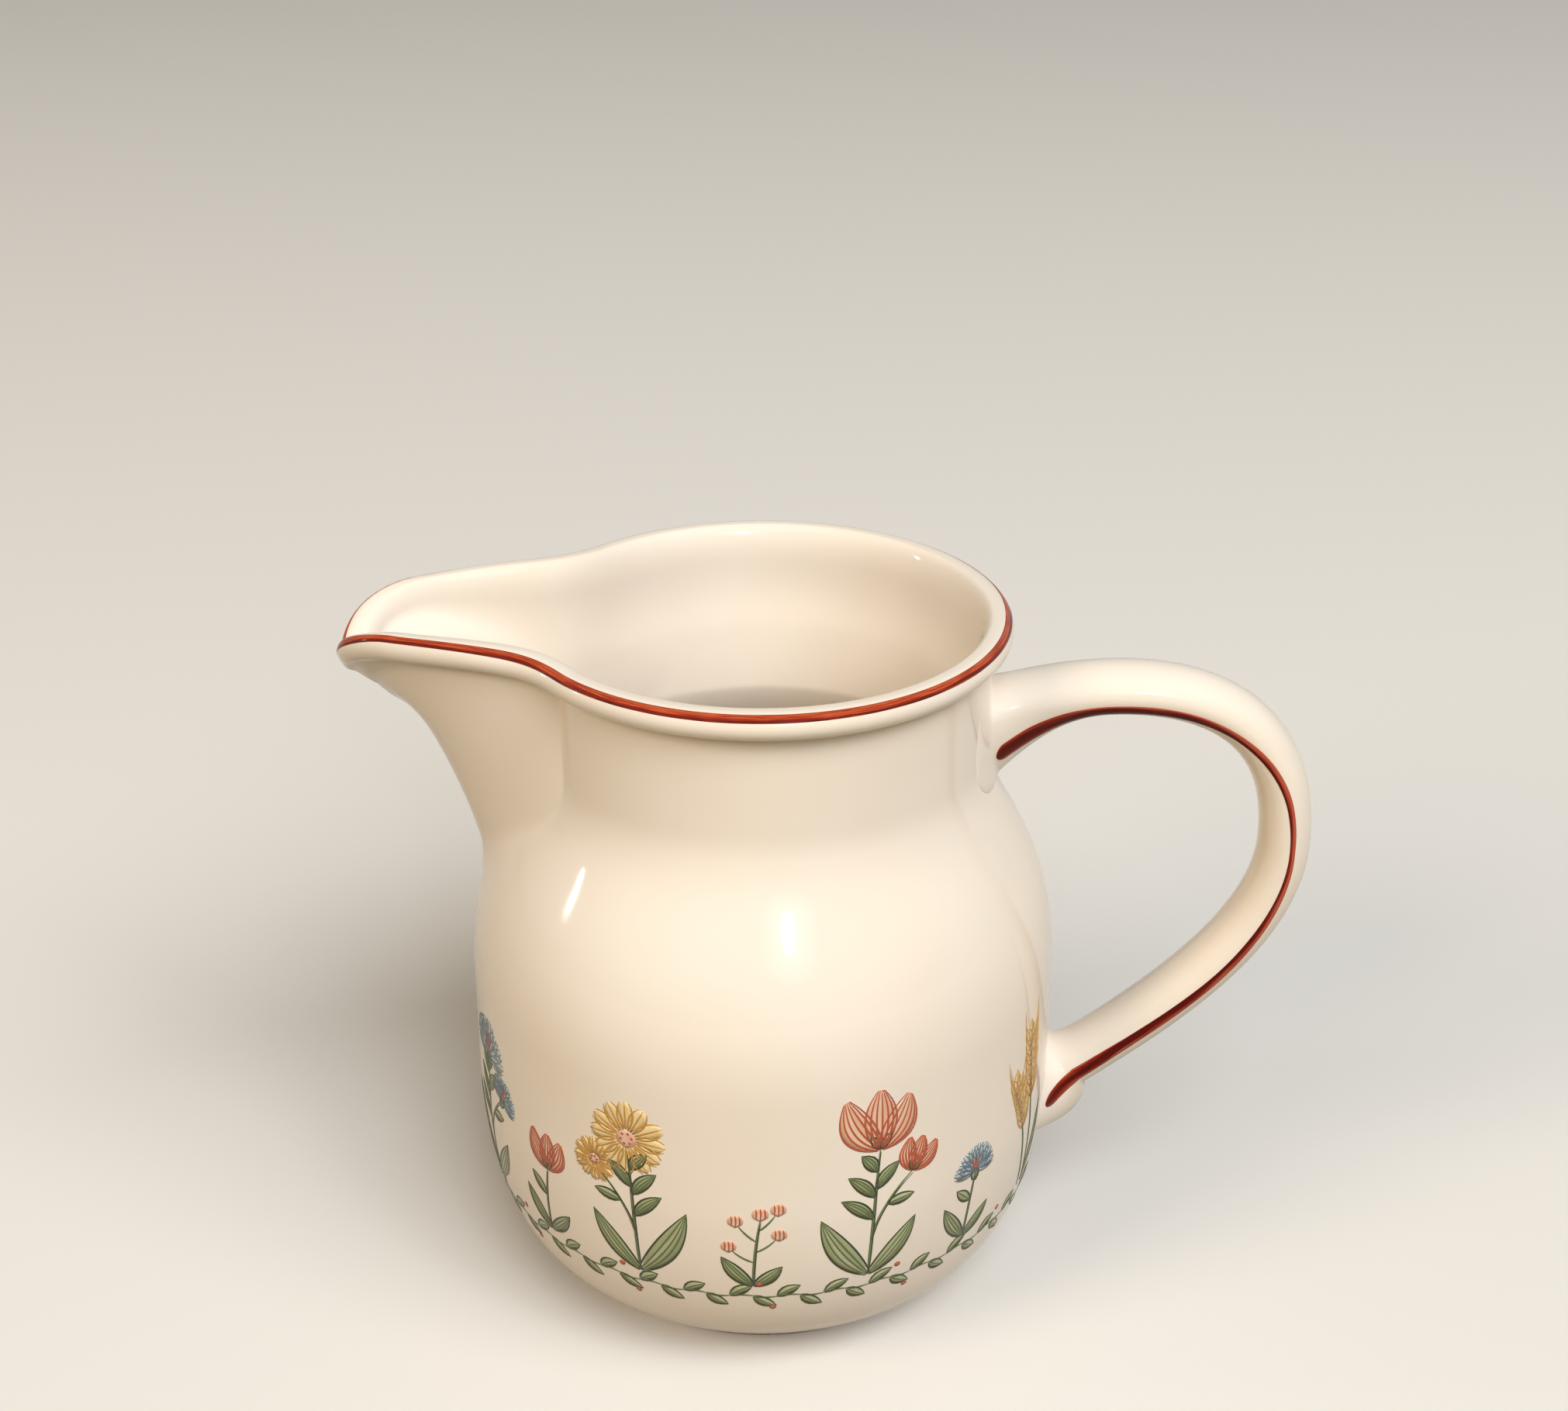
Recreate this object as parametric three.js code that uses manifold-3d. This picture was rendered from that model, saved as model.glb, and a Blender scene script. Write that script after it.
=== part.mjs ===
// Milk jug: a glazed clay pot with a beak spout and a loop handle, on a turned foot ring.
// Millimetres, +Z up. The spout points along -X, the handle along +X, and XZ is the mirror plane.
import * as THREE from 'three';
import { mergeVertices } from 'three/addons/utils/BufferGeometryUtils.js';
import Module from 'manifold-3d';

const wasm = await Module();
wasm.setup();

// Pot: radii are from its axis and heights from the table
const HEIGHT = 150;            // top of the rolled rim
const BELLY_RADIUS = 60.9;     // widest wall
const BELLY_LOW = 46.5;        // the widest wall starts here
const BELLY_HIGH = 72.5;       // and the shoulder turns in from here
const SHOULDER_FULLNESS = 28;  // how far the belly's upright line pulls the shoulder up
const NECK_RADIUS = 45.5;      // outside of the neck
const NECK_FOOT = 122.5;       // the shoulder ends and the neck starts here
const NECK_SWEEP = 15.5;       // how far the neck's upright line pulls the shoulder down
const WALL = 4.5;              // thickness of the pot's wall
const FLOOR = 5;               // thickness of its floor
const INNER_DROP = 7;          // the neck ends this much lower inside than outside
const HEEL_REACH = 11;         // how far the base runs out flat from the foot
const HEEL_LIFT = 4.4;         // its rise over that stretch
const HEEL_TURN = 13.6;        // height that the rounded heel turns up at
const HEEL_DRAW = 1.4;         // the wall stands in this much at the heel's turn

// Rolled rim
const BEAD_RADIUS = 2.85;      // of its round section
const BEAD_FLARE = 1.6;        // the bead's middle lies this far outside the neck
const BEAD_FILLET = 3;         // height of the soft corner under the bead
const MOUTH_FLARE = 11;        // height over which the mouth opens out inside

// Foot ring
const FOOT_RADIUS = 39;
const FOOT_WIDTH = 5.5;
const FOOT_HEIGHT = 3.5;
const FOOT_CHAMFER = 0.8;

// Spout
const SPOUT_REACH = 85;        // from the pot's axis to the tip
const SPOUT_FOOT = 92.5;       // the keel leaves the shoulder at this height
const SPOUT_ROOT = 39;         // the side walls leave the neck at this distance from the axis
const SPOUT_HALF_WIDTH = 23.8; // and this far from the mirror plane
const SPOUT_WALL = 4;
const SPOUT_BURY = 19.5;       // the spout's block is closed this far from the axis, before it is trimmed
const KEEL_RISE = 11.5;        // how steeply the keel starts
const KEEL_LEAN = 1;           // and how far it leans out there
const KEEL_SWEEP = 11;         // it sweeps out this far under the lip
const KEEL_CLIMB = 14;         // while it climbs this far
const LIP_UNDERCUT = 6;        // the keel stops this far behind the tip
const LIP_DEPTH = 7;           // and this far below the rim's top
const LIP_ARCH = 0.8;          // the lip rises this much midway
const LIP_DROOP = 9;           // and hangs this much at its tip
const LIP_DROOP_START = 0.64;  // share of the lip's run after which it hangs
const LIP_FILLET_ANGLE = 42;   // degrees from -X where the lip leaves the round rim
const LIP_FILLET_END = 50.5;   // distance from the axis where its straight side starts
const LIP_FILLET_HALF_WIDTH = 21.3;
const SIDE_STRAIGHTNESS = 0.74; // share of the beak's side that is straight
const TIP_ROUNDNESS = 0.26;    // half width of the rounded tip over the beak's length

// Handle: its middle line runs from the neck over the bend to the belly
const HANDLE_REACH = 107.4;    // from the pot's axis to the middle of the bend
const HANDLE_DROP = 21.3;      // from the rim's top down to the upper root
const HANDLE_BEND = 100;       // height of the bend
const HANDLE_FOOT = 40.5;      // height where it meets the belly
const HANDLE_START_RUN = 25.5; // pull of the upper root's direction, outwards
const HANDLE_START_RISE = 8.8; // and upwards
const HANDLE_CROWN = 10.6;     // pull of the bend, above the upper root
const HANDLE_FALL = 17.4;      // pull of the bend, downwards
const HANDLE_RETURN = 13.9;    // pull of the lower end, in from the bend
const HANDLE_END_RISE = 24;    // and up from the belly
const HANDLE_SEAT = 1.2;       // the middle line's ends lie this deep in the wall
const HANDLE_HALF_WIDTH = 7.3;
const HANDLE_HALF_THICK = 5.3;
const ROOT_FLARE_RUN = 26;     // the upper root deepens over this length
const ROOT_FLARE_DOWN = 12;    // by this much down the neck
const ROOT_SPREAD_RUN = 9;     // and widens over this length
const ROOT_SPREAD = 8.7;       // by this much to each side
const END_FLARE_RUN = 14;      // the lower end spreads over this length
const END_FLARE_WIDE = 2.5;    // by this much to each side
const END_FLARE_UP = 5;        // and by this much up the belly
const THUMB_RADIUS = 10.2;     // the thumb-shaped knob under the lower end
const THUMB_DROP = 0.8;        // its middle lies this much below the handle's foot
const THUMB_HALF_WIDTH = 8.4;
const HANDLE_BURY = 12;        // its block runs this far into the pot, before it is trimmed

// Slip joints and painted lines
const CLEARANCE = 0.3;         // between pieces that touch
const SLIP = 0.6;              // thickness of a slip joint
const SLIP_SQUEEZE = 0.8;      // the slip stands out round a joint by this much
const PAINT = 0.4;             // thickness of a painted line
const RIM_LINE_WIDTH = 1.7;
const RIM_LINE_ANGLE = 50;     // degrees up the bead's outer side
const LINE_START_WIDTH = 3.2;  // handle line: at the neck
const LINE_WIDTH = 1.7;        // along the loop
const LINE_END_WIDTH = 2.7;    // and at the belly
const LINE_START = 5;          // it starts this far from the middle line's upper end
const LINE_STOP = 5;           // and stops this far from its lower end
const LINE_START_TURN = -22;   // degrees from mid flank, towards the finger gap
const LINE_END_TURN = 6;
const LINE_TAPER = 0.3;        // share of the line's run over which its ends widen

// Facets
const TURN_STEPS = 52;
const CURVE_STEPS = 9;
const BEAD_STEPS = 4;
const SIDE_STEPS = 14;
const HANDLE_STEPS = 36;
const HANDLE_SIDES = 16;
const HANDLE_CROWDING = 0.7;   // how much its rings crowd towards both roots
const LIP_OUTSIDE_TURNS = [-60, -33, -6, 21, 48, 75]; // degrees up the outside of the lip's bead
const LIP_INSIDE_TURNS = [0, 40, 75];                 // and up its inside
const MERGE_DISTANCE = 1e-4;

const beadRadius = NECK_RADIUS + BEAD_FLARE;
const beadHeight = HEIGHT - BEAD_RADIUS;
const baseHeight = FOOT_HEIGHT + CLEARANCE;
const slipReach = SLIP + 2 * CLEARANCE;

function solid(geometry) {
  const bare = geometry.clone();
  bare.deleteAttribute('normal');
  bare.deleteAttribute('uv');
  const merged = mergeVertices(bare, MERGE_DISTANCE);
  const corners = merged.index.array;
  const triangles = [];
  for (let i = 0; i < corners.length; i += 3) {
    const [a, b, c] = [corners[i], corners[i + 1], corners[i + 2]];
    // A lathe's triangles collapse to a line on the axis
    if (a !== b && b !== c && c !== a) triangles.push(a, b, c);
  }
  return new wasm.Manifold(new wasm.Mesh({
    numProp: 3,
    vertProperties: new Float32Array(merged.attributes.position.array),
    triVerts: new Uint32Array(triangles),
  }));
}

function surface(manifold) {
  const mesh = manifold.getMesh();
  const geometry = new THREE.BufferGeometry();
  geometry.setAttribute('position', new THREE.BufferAttribute(mesh.vertProperties, 3));
  geometry.setIndex(new THREE.BufferAttribute(mesh.triVerts, 1));
  geometry.computeVertexNormals();
  return geometry;
}

// A profile of (radius, height) points turned about the jug's axis
function turned(profile) {
  const lathe = new THREE.LatheGeometry(profile, TURN_STEPS);
  lathe.rotateX(Math.PI / 2);
  return lathe;
}

// Rings of equal count joined side by side; open lofts get a flat cap at each end
function loft(rings, loop = false) {
  const count = rings[0].length;
  const points = rings.flat();
  const faces = [];
  const spans = loop ? rings.length : rings.length - 1;
  for (let r = 0; r < spans; r++) {
    const here = r * count;
    const next = ((r + 1) % rings.length) * count;
    for (let i = 0; i < count; i++) {
      const j = (i + 1) % count;
      faces.push(here + i, here + j, next + j, here + i, next + j, next + i);
    }
  }
  if (!loop) {
    const last = (rings.length - 1) * count;
    for (let i = 1; i < count - 1; i++) {
      faces.push(0, i + 1, i);
      faces.push(last, last + i, last + i + 1);
    }
  }
  const geometry = new THREE.BufferGeometry().setFromPoints(points);
  geometry.setIndex(faces);
  return geometry;
}

// Pot: its outside from the foot ring to the top of the rim
function outerWall() {
  const wall = new THREE.Path();
  wall.moveTo(FOOT_RADIUS, baseHeight);
  wall.bezierCurveTo(
    FOOT_RADIUS + HEEL_REACH, baseHeight + HEEL_LIFT,
    BELLY_RADIUS - HEEL_DRAW, HEEL_TURN,
    BELLY_RADIUS, BELLY_LOW,
  );
  wall.lineTo(BELLY_RADIUS, BELLY_HIGH);
  wall.bezierCurveTo(
    BELLY_RADIUS, BELLY_HIGH + SHOULDER_FULLNESS,
    NECK_RADIUS, NECK_FOOT - NECK_SWEEP,
    NECK_RADIUS, NECK_FOOT,
  );
  const rim = new THREE.Path();
  rim.moveTo(NECK_RADIUS, beadHeight - BEAD_RADIUS - BEAD_FILLET);
  rim.quadraticCurveTo(
    NECK_RADIUS, beadHeight - BEAD_RADIUS,
    beadRadius, beadHeight - BEAD_RADIUS,
  );
  rim.absarc(beadRadius, beadHeight, BEAD_RADIUS, -Math.PI / 2, Math.PI / 2, false);
  return [...wall.getPoints(CURVE_STEPS), ...rim.getPoints(BEAD_STEPS)];
}

// Its inside, from the top of the rim to the middle of the floor
function innerWall() {
  const neckInside = NECK_RADIUS - WALL;
  const bellyInside = BELLY_RADIUS - WALL;
  const floorTop = baseHeight + FLOOR;
  const mouth = new THREE.Path();
  mouth.absarc(beadRadius, beadHeight, BEAD_RADIUS, Math.PI / 2, Math.PI, false);
  mouth.bezierCurveTo(
    beadRadius - BEAD_RADIUS, beadHeight - MOUTH_FLARE / 2,
    neckInside, beadHeight - MOUTH_FLARE / 2,
    neckInside, beadHeight - MOUTH_FLARE,
  );
  const wall = new THREE.Path();
  wall.moveTo(neckInside, NECK_FOOT - INNER_DROP);
  wall.bezierCurveTo(
    neckInside, NECK_FOOT - INNER_DROP - NECK_SWEEP,
    bellyInside, BELLY_HIGH + SHOULDER_FULLNESS - INNER_DROP,
    bellyInside, BELLY_HIGH,
  );
  wall.lineTo(bellyInside, BELLY_LOW);
  wall.bezierCurveTo(
    bellyInside - HEEL_DRAW, HEEL_TURN + FLOOR,
    FOOT_RADIUS + HEEL_REACH - WALL, floorTop,
    FOOT_RADIUS - WALL, floorTop,
  );
  wall.lineTo(0, floorTop);
  return [...mouth.getPoints(BEAD_STEPS).slice(1), ...wall.getPoints(CURVE_STEPS)];
}

function pot() {
  const underside = new THREE.Vector2(0, baseHeight);
  return solid(turned([underside, ...outerWall(), ...innerWall()]));
}

// The pot's outside, swollen by a distance and solid within, to trim what is stuck to it
function potBlock(swell) {
  const wall = outerWall();
  const swollen = wall.map((point, i) => {
    const before = wall[Math.max(i - 1, 0)];
    const after = wall[Math.min(i + 1, wall.length - 1)];
    const along = after.clone().sub(before).normalize();
    return new THREE.Vector2(point.x + swell * along.y, point.y - swell * along.x);
  });
  const low = new THREE.Vector2(0, swollen[0].y);
  const high = new THREE.Vector2(0, swollen.at(-1).y);
  return solid(turned([low, ...swollen, high]));
}

// Radius of the pot's outside at a height
function potRadius(height) {
  const wall = outerWall();
  const above = wall.findIndex((point) => point.y >= height);
  if (above < 0) return NECK_RADIUS;
  const [low, high] = [wall[above - 1], wall[above]];
  return THREE.MathUtils.mapLinear(height, low.y, high.y, low.x, high.x);
}

function footRing() {
  const inside = FOOT_RADIUS - FOOT_WIDTH;
  const profile = [
    new THREE.Vector2(inside + FOOT_CHAMFER, 0),
    new THREE.Vector2(FOOT_RADIUS - FOOT_CHAMFER, 0),
    new THREE.Vector2(FOOT_RADIUS, FOOT_CHAMFER),
    new THREE.Vector2(FOOT_RADIUS, FOOT_HEIGHT),
    new THREE.Vector2(inside, FOOT_HEIGHT),
    new THREE.Vector2(inside, FOOT_CHAMFER),
    new THREE.Vector2(inside + FOOT_CHAMFER, 0),
  ];
  return solid(turned(profile));
}

// Spout: plans are drawn on one side of the mirror plane, from the root to the tip
function beakSide(rootX, rootY, tipX) {
  const tipY = TIP_ROUNDNESS * (tipX - SPOUT_ROOT);
  const root = new THREE.Vector2(-rootX, rootY);
  const corner = new THREE.Vector2(-tipX, tipY);
  const straight = root.clone().lerp(corner, SIDE_STRAIGHTNESS);
  return new THREE.CubicBezierCurve(root, straight, corner, new THREE.Vector2(-tipX, 0));
}

// Plan of the lip's bead, a distance outside its middle line
function lipPlan(outside) {
  const angle = THREE.MathUtils.degToRad(180 - LIP_FILLET_ANGLE);
  const radius = beadRadius + outside;
  const start = new THREE.Vector2(Math.cos(angle), Math.sin(angle)).multiplyScalar(radius);
  const tip = SPOUT_REACH - BEAD_RADIUS + outside;
  const side = beakSide(LIP_FILLET_END, LIP_FILLET_HALF_WIDTH + outside, tip);
  const handle = (LIP_FILLET_END - Math.abs(start.x)) / 2;
  const leave = new THREE.Vector2(-Math.sin(angle), Math.cos(angle)).multiplyScalar(handle).add(start);
  const arrive = side.v0.clone().sub(side.getTangent(0).multiplyScalar(handle));
  const fillet = new THREE.CubicBezierCurve(start, leave, arrive, side.v0);
  const plan = new THREE.CurvePath();
  plan.add(fillet);
  plan.add(side);
  return plan;
}

// The lip's height above the level rim, by its share of the run from the root to the tip
function lipLift(share) {
  const arch = LIP_ARCH * Math.sin(Math.PI * Math.min(share / LIP_DROOP_START, 1));
  const hang = Math.max(0, (share - LIP_DROOP_START) / (1 - LIP_DROOP_START));
  return arch - LIP_DROOP * hang * hang;
}

// A full ring through both sides of a plan, closed inside the pot
function beakRing(plan, height, liftShare) {
  const inside = new THREE.Vector3(-SPOUT_BURY, 0, height);
  const half = plan.getSpacedPoints(SIDE_STEPS).map((point, i) => {
    const lift = liftShare * lipLift(i / SIDE_STEPS);
    return new THREE.Vector3(point.x, point.y, height + lift);
  });
  const shift = (y) => inside.clone().setY(y);
  const near = half.map((point) => new THREE.Vector3(point.x, -point.y, point.z)).slice(0, -1);
  return [shift(half[0].y), ...half, ...near.reverse(), shift(-half[0].y)];
}

function keel() {
  return new THREE.CubicBezierCurve(
    new THREE.Vector2(potRadius(SPOUT_FOOT), SPOUT_FOOT),
    new THREE.Vector2(potRadius(SPOUT_FOOT) + KEEL_LEAN, SPOUT_FOOT + KEEL_RISE),
    new THREE.Vector2(SPOUT_REACH - LIP_UNDERCUT - KEEL_SWEEP, HEIGHT - LIP_DEPTH - KEEL_CLIMB),
    new THREE.Vector2(SPOUT_REACH - LIP_UNDERCUT, HEIGHT - LIP_DEPTH),
  );
}

// The share of the lip's lift that a panel takes at a height
function panelLift(height) {
  return THREE.MathUtils.smoothstep(height, NECK_FOOT, HEIGHT - LIP_DEPTH);
}

function beakBlock() {
  const rings = keel().getPoints(CURVE_STEPS).map((point) => {
    const panel = beakSide(SPOUT_ROOT, SPOUT_HALF_WIDTH, point.x);
    return beakRing(panel, point.y, panelLift(point.y));
  });
  for (const turn of LIP_OUTSIDE_TURNS) {
    const angle = THREE.MathUtils.degToRad(turn);
    const height = beadHeight + BEAD_RADIUS * Math.sin(angle);
    rings.push(beakRing(lipPlan(BEAD_RADIUS * Math.cos(angle)), height, 1));
  }
  return solid(loft(rings));
}

// The hollow of the spout, open into the pot and through the lip
function channelBlock() {
  const line = keel();
  const rings = [];
  for (let step = 0; step <= CURVE_STEPS; step++) {
    const along = line.getTangent(step / CURVE_STEPS);
    const point = line.getPoint(step / CURVE_STEPS);
    const reach = point.x - SPOUT_WALL * along.y;
    const height = point.y + SPOUT_WALL * along.x;
    const panel = beakSide(SPOUT_ROOT, SPOUT_HALF_WIDTH - SPOUT_WALL, reach);
    rings.push(beakRing(panel, height, panelLift(point.y)));
  }
  const inner = BEAD_RADIUS + CLEARANCE / 2;
  for (const turn of LIP_INSIDE_TURNS) {
    const angle = THREE.MathUtils.degToRad(turn);
    const height = beadHeight + BEAD_RADIUS * Math.sin(angle);
    rings.push(beakRing(lipPlan(-inner * Math.cos(angle)), height, 1));
  }
  rings.push(rings.at(-1).map((point) => point.clone().setZ(HEIGHT + LIP_DEPTH)));
  return solid(loft(rings));
}

// Handle: its middle line lies in the mirror plane, as (distance from the axis, height)
function handleLine() {
  const root = HEIGHT - HANDLE_DROP;
  const neck = NECK_RADIUS - HANDLE_SEAT;
  const belly = potRadius(HANDLE_FOOT) - HANDLE_SEAT;
  const line = new THREE.CurvePath();
  line.add(new THREE.CubicBezierCurve(
    new THREE.Vector2(neck, root),
    new THREE.Vector2(neck + HANDLE_START_RUN, root + HANDLE_START_RISE),
    new THREE.Vector2(HANDLE_REACH, root + HANDLE_CROWN),
    new THREE.Vector2(HANDLE_REACH, HANDLE_BEND),
  ));
  line.add(new THREE.CubicBezierCurve(
    new THREE.Vector2(HANDLE_REACH, HANDLE_BEND),
    new THREE.Vector2(HANDLE_REACH, HANDLE_BEND - HANDLE_FALL),
    new THREE.Vector2(HANDLE_REACH - HANDLE_RETURN, HANDLE_FOOT + HANDLE_END_RISE),
    new THREE.Vector2(belly, HANDLE_FOOT),
  ));
  return line;
}

// Middle, directions and half sizes of the handle's section at a distance along its line
function handleSection(line, distance) {
  const length = line.getLength();
  const share = THREE.MathUtils.clamp(distance / length, 0, 1);
  const point = line.getPointAt(share);
  const tangent = line.getTangentAt(share);
  const fade = (from, run) => Math.max(0, 1 - from / run) ** 2;
  const root = fade(share * length, ROOT_FLARE_RUN);
  const spread = fade(share * length, ROOT_SPREAD_RUN);
  const end = fade((1 - share) * length, END_FLARE_RUN);
  const middle = new THREE.Vector3(point.x, 0, point.y);
  const along = new THREE.Vector3(tangent.x, 0, tangent.y);
  middle.addScaledVector(along, distance - share * length);
  return {
    middle,
    outward: new THREE.Vector3(-tangent.y, 0, tangent.x),
    wide: HANDLE_HALF_WIDTH + ROOT_SPREAD * spread + END_FLARE_WIDE * end,
    outer: HANDLE_HALF_THICK,
    inner: HANDLE_HALF_THICK + ROOT_FLARE_DOWN * root + END_FLARE_UP * end,
  };
}

// A point of the section, by its turn from mid flank towards the outside of the loop
function onSection(section, turn, grow, flank = 1) {
  const thick = Math.sin(turn) > 0 ? section.outer : section.inner;
  const out = (thick + grow) * Math.sin(turn);
  const aside = flank * (section.wide + grow) * Math.cos(turn);
  return section.middle.clone().addScaledVector(section.outward, out).setY(aside);
}

function handleBlock(grow) {
  const line = handleLine();
  const length = line.getLength();
  const rings = [];
  for (let step = 0; step <= HANDLE_STEPS; step++) {
    const share = step / HANDLE_STEPS;
    const crowded = share - (HANDLE_CROWDING * Math.sin(2 * Math.PI * share)) / (2 * Math.PI);
    const distance = THREE.MathUtils.lerp(-HANDLE_BURY, length + HANDLE_BURY, crowded);
    const section = handleSection(line, distance);
    const ring = [];
    for (let side = 0; side < HANDLE_SIDES; side++) {
      ring.push(onSection(section, (2 * Math.PI * side) / HANDLE_SIDES, grow));
    }
    rings.push(ring);
  }
  const thumb = new THREE.SphereGeometry(1, HANDLE_SIDES, HANDLE_SIDES / 2);
  thumb.scale(THUMB_RADIUS + grow, THUMB_HALF_WIDTH + grow, THUMB_RADIUS + grow);
  thumb.translate(potRadius(HANDLE_FOOT), 0, HANDLE_FOOT - THUMB_DROP);
  return solid(loft(rings)).add(solid(thumb));
}

function handleLineBand(flank) {
  const line = handleLine();
  const last = line.getLength() - LINE_STOP;
  const rings = [];
  for (let step = 0; step <= HANDLE_STEPS; step++) {
    const share = step / HANDLE_STEPS;
    const section = handleSection(line, THREE.MathUtils.lerp(LINE_START, last, share));
    const middle = THREE.MathUtils.degToRad(THREE.MathUtils.lerp(LINE_START_TURN, LINE_END_TURN, share));
    const thickStart = Math.max(0, 1 - share / LINE_TAPER) ** 2;
    const thickEnd = Math.max(0, 1 - (1 - share) / LINE_TAPER) ** 2;
    const width = LINE_WIDTH + (LINE_START_WIDTH - LINE_WIDTH) * thickStart
      + (LINE_END_WIDTH - LINE_WIDTH) * thickEnd;
    const half = width / 2 / section.inner;
    const edge = (turn, grow) => onSection(section, middle + turn, grow, flank);
    const ring = [
      edge(-half, CLEARANCE + PAINT), edge(0, CLEARANCE + PAINT), edge(half, CLEARANCE + PAINT),
      edge(half, CLEARANCE), edge(0, CLEARANCE), edge(-half, CLEARANCE),
    ];
    rings.push(flank > 0 ? ring : ring.reverse());
  }
  return solid(loft(rings));
}

// A line round the whole rim, along the mouth and both sides of the lip. Its two distances are
// from the middle of the bead's round section.
function rimPath(outside, above) {
  const height = beadHeight + above;
  const span = THREE.MathUtils.degToRad(180 - LIP_FILLET_ANGLE);
  const mouth = [];
  for (let step = 0; step < TURN_STEPS; step++) {
    const angle = THREE.MathUtils.lerp(-span, span, step / TURN_STEPS);
    const point = new THREE.Vector3(Math.cos(angle), Math.sin(angle), 0);
    mouth.push(point.multiplyScalar(beadRadius + outside).setZ(height));
  }
  const far = lipPlan(outside).getSpacedPoints(SIDE_STEPS).map((point, i) => (
    new THREE.Vector3(point.x, point.y, height + lipLift(i / SIDE_STEPS))
  ));
  const near = far.slice(1, -1).reverse().map((point) => new THREE.Vector3(point.x, -point.y, point.z));
  return [...mouth, ...far, ...near];
}

function rimLineBand() {
  const half = RIM_LINE_WIDTH / 2 / (BEAD_RADIUS + CLEARANCE);
  const rise = THREE.MathUtils.degToRad(RIM_LINE_ANGLE);
  const edge = (turn, grow) => {
    const radius = BEAD_RADIUS + grow;
    return rimPath(radius * Math.cos(rise + turn), radius * Math.sin(rise + turn));
  };
  const edges = [
    edge(half, CLEARANCE + PAINT), edge(0, CLEARANCE + PAINT), edge(-half, CLEARANCE + PAINT),
    edge(-half, CLEARANCE), edge(0, CLEARANCE), edge(half, CLEARANCE),
  ];
  const rings = edges[0].map((point, i) => edges.map((line) => line[i]));
  return solid(loft(rings, true));
}

const glaze = new THREE.MeshStandardMaterial({ color: 0xf0e4d0, roughness: 0.12, metalness: 0 });
const clay = new THREE.MeshStandardMaterial({ color: 0xd9c7ab, roughness: 0.9, metalness: 0 });
const slip = new THREE.MeshStandardMaterial({ color: 0xe9dcc4, roughness: 0.3, metalness: 0 });
const redBrown = new THREE.MeshStandardMaterial({ color: 0xa8401f, roughness: 0.2, metalness: 0 });

const jug = new THREE.Group();

function add(name, manifold, material) {
  const mesh = new THREE.Mesh(surface(manifold), material);
  mesh.name = name;
  jug.add(mesh);
}

const channel = channelBlock();
const beak = beakBlock().subtract(channel);
const slipLayer = potBlock(CLEARANCE + SLIP).subtract(potBlock(CLEARANCE));
const trimmed = potBlock(slipReach);
const squeezed = handleBlock(SLIP_SQUEEZE).intersect(slipLayer);

add('body', pot().subtract(channel), glaze);
add('foot_ring', footRing(), clay);
add('spout', beak.subtract(trimmed), glaze);
add('spout_slip_seam', beak.intersect(slipLayer), slip);
add('handle', handleBlock(0).subtract(trimmed), glaze);
add('rim_line', rimLineBand(), redBrown);
add('handle_line_near', handleLineBand(-1), redBrown);
add('handle_line_far', handleLineBand(1), redBrown);

// The two slip joints of the handle lie above and below the widest part of the belly
const pastHandle = 4 * HANDLE_REACH;
const lower = solid(new THREE.BoxGeometry(pastHandle, pastHandle, 2 * BELLY_HIGH));
add('upper_slip_joint', squeezed.subtract(lower), slip);
add('lower_slip_joint', squeezed.intersect(lower), slip);

// The origin is under the middle of the jug's box, on the table
const box = new THREE.Box3().setFromObject(jug);
const centre = box.getCenter(new THREE.Vector3());
for (const mesh of jug.children) mesh.position.set(-centre.x, -centre.y, 0);

export default jug;
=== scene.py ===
# %% [markdown]
# # A glazed milk jug
# The jug is a round pot with a drawn beak spout, a rolled rim and a loop handle. A red-brown brush line
# follows the rim and the handle, and a ring of small flowers is painted round the belly. The lesson starts
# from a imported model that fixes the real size, and dresses it with smooth meshes and glazes.

# %% Load the frame
import math
import random
import bmesh
import bpy
import numpy as np
from mathutils import Matrix, Vector


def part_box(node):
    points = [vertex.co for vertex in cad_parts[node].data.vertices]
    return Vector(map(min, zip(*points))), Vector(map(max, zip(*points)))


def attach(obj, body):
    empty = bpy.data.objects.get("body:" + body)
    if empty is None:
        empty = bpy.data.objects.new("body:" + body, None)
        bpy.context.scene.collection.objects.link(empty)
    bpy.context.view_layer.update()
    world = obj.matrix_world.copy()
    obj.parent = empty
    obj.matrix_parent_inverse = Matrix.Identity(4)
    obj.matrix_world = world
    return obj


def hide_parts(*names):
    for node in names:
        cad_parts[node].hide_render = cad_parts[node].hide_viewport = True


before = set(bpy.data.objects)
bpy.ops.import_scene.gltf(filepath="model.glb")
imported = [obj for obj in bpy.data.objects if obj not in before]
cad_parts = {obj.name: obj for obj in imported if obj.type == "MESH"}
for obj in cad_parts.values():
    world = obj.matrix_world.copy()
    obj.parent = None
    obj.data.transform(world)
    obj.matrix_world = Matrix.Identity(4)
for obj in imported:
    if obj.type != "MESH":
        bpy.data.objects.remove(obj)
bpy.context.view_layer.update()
MM = 0.001

# %% [markdown]
# ## Where the pot's axis is
# The frame's origin lies under the middle of the whole jug, and the handle reaches further than the spout,
# so the pot's own axis is off to one side. The foot ring is round, so the middle of its box is on that axis.
# Every piece below is drawn in millimetres about the axis, and one transform at the end puts it in place.

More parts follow.
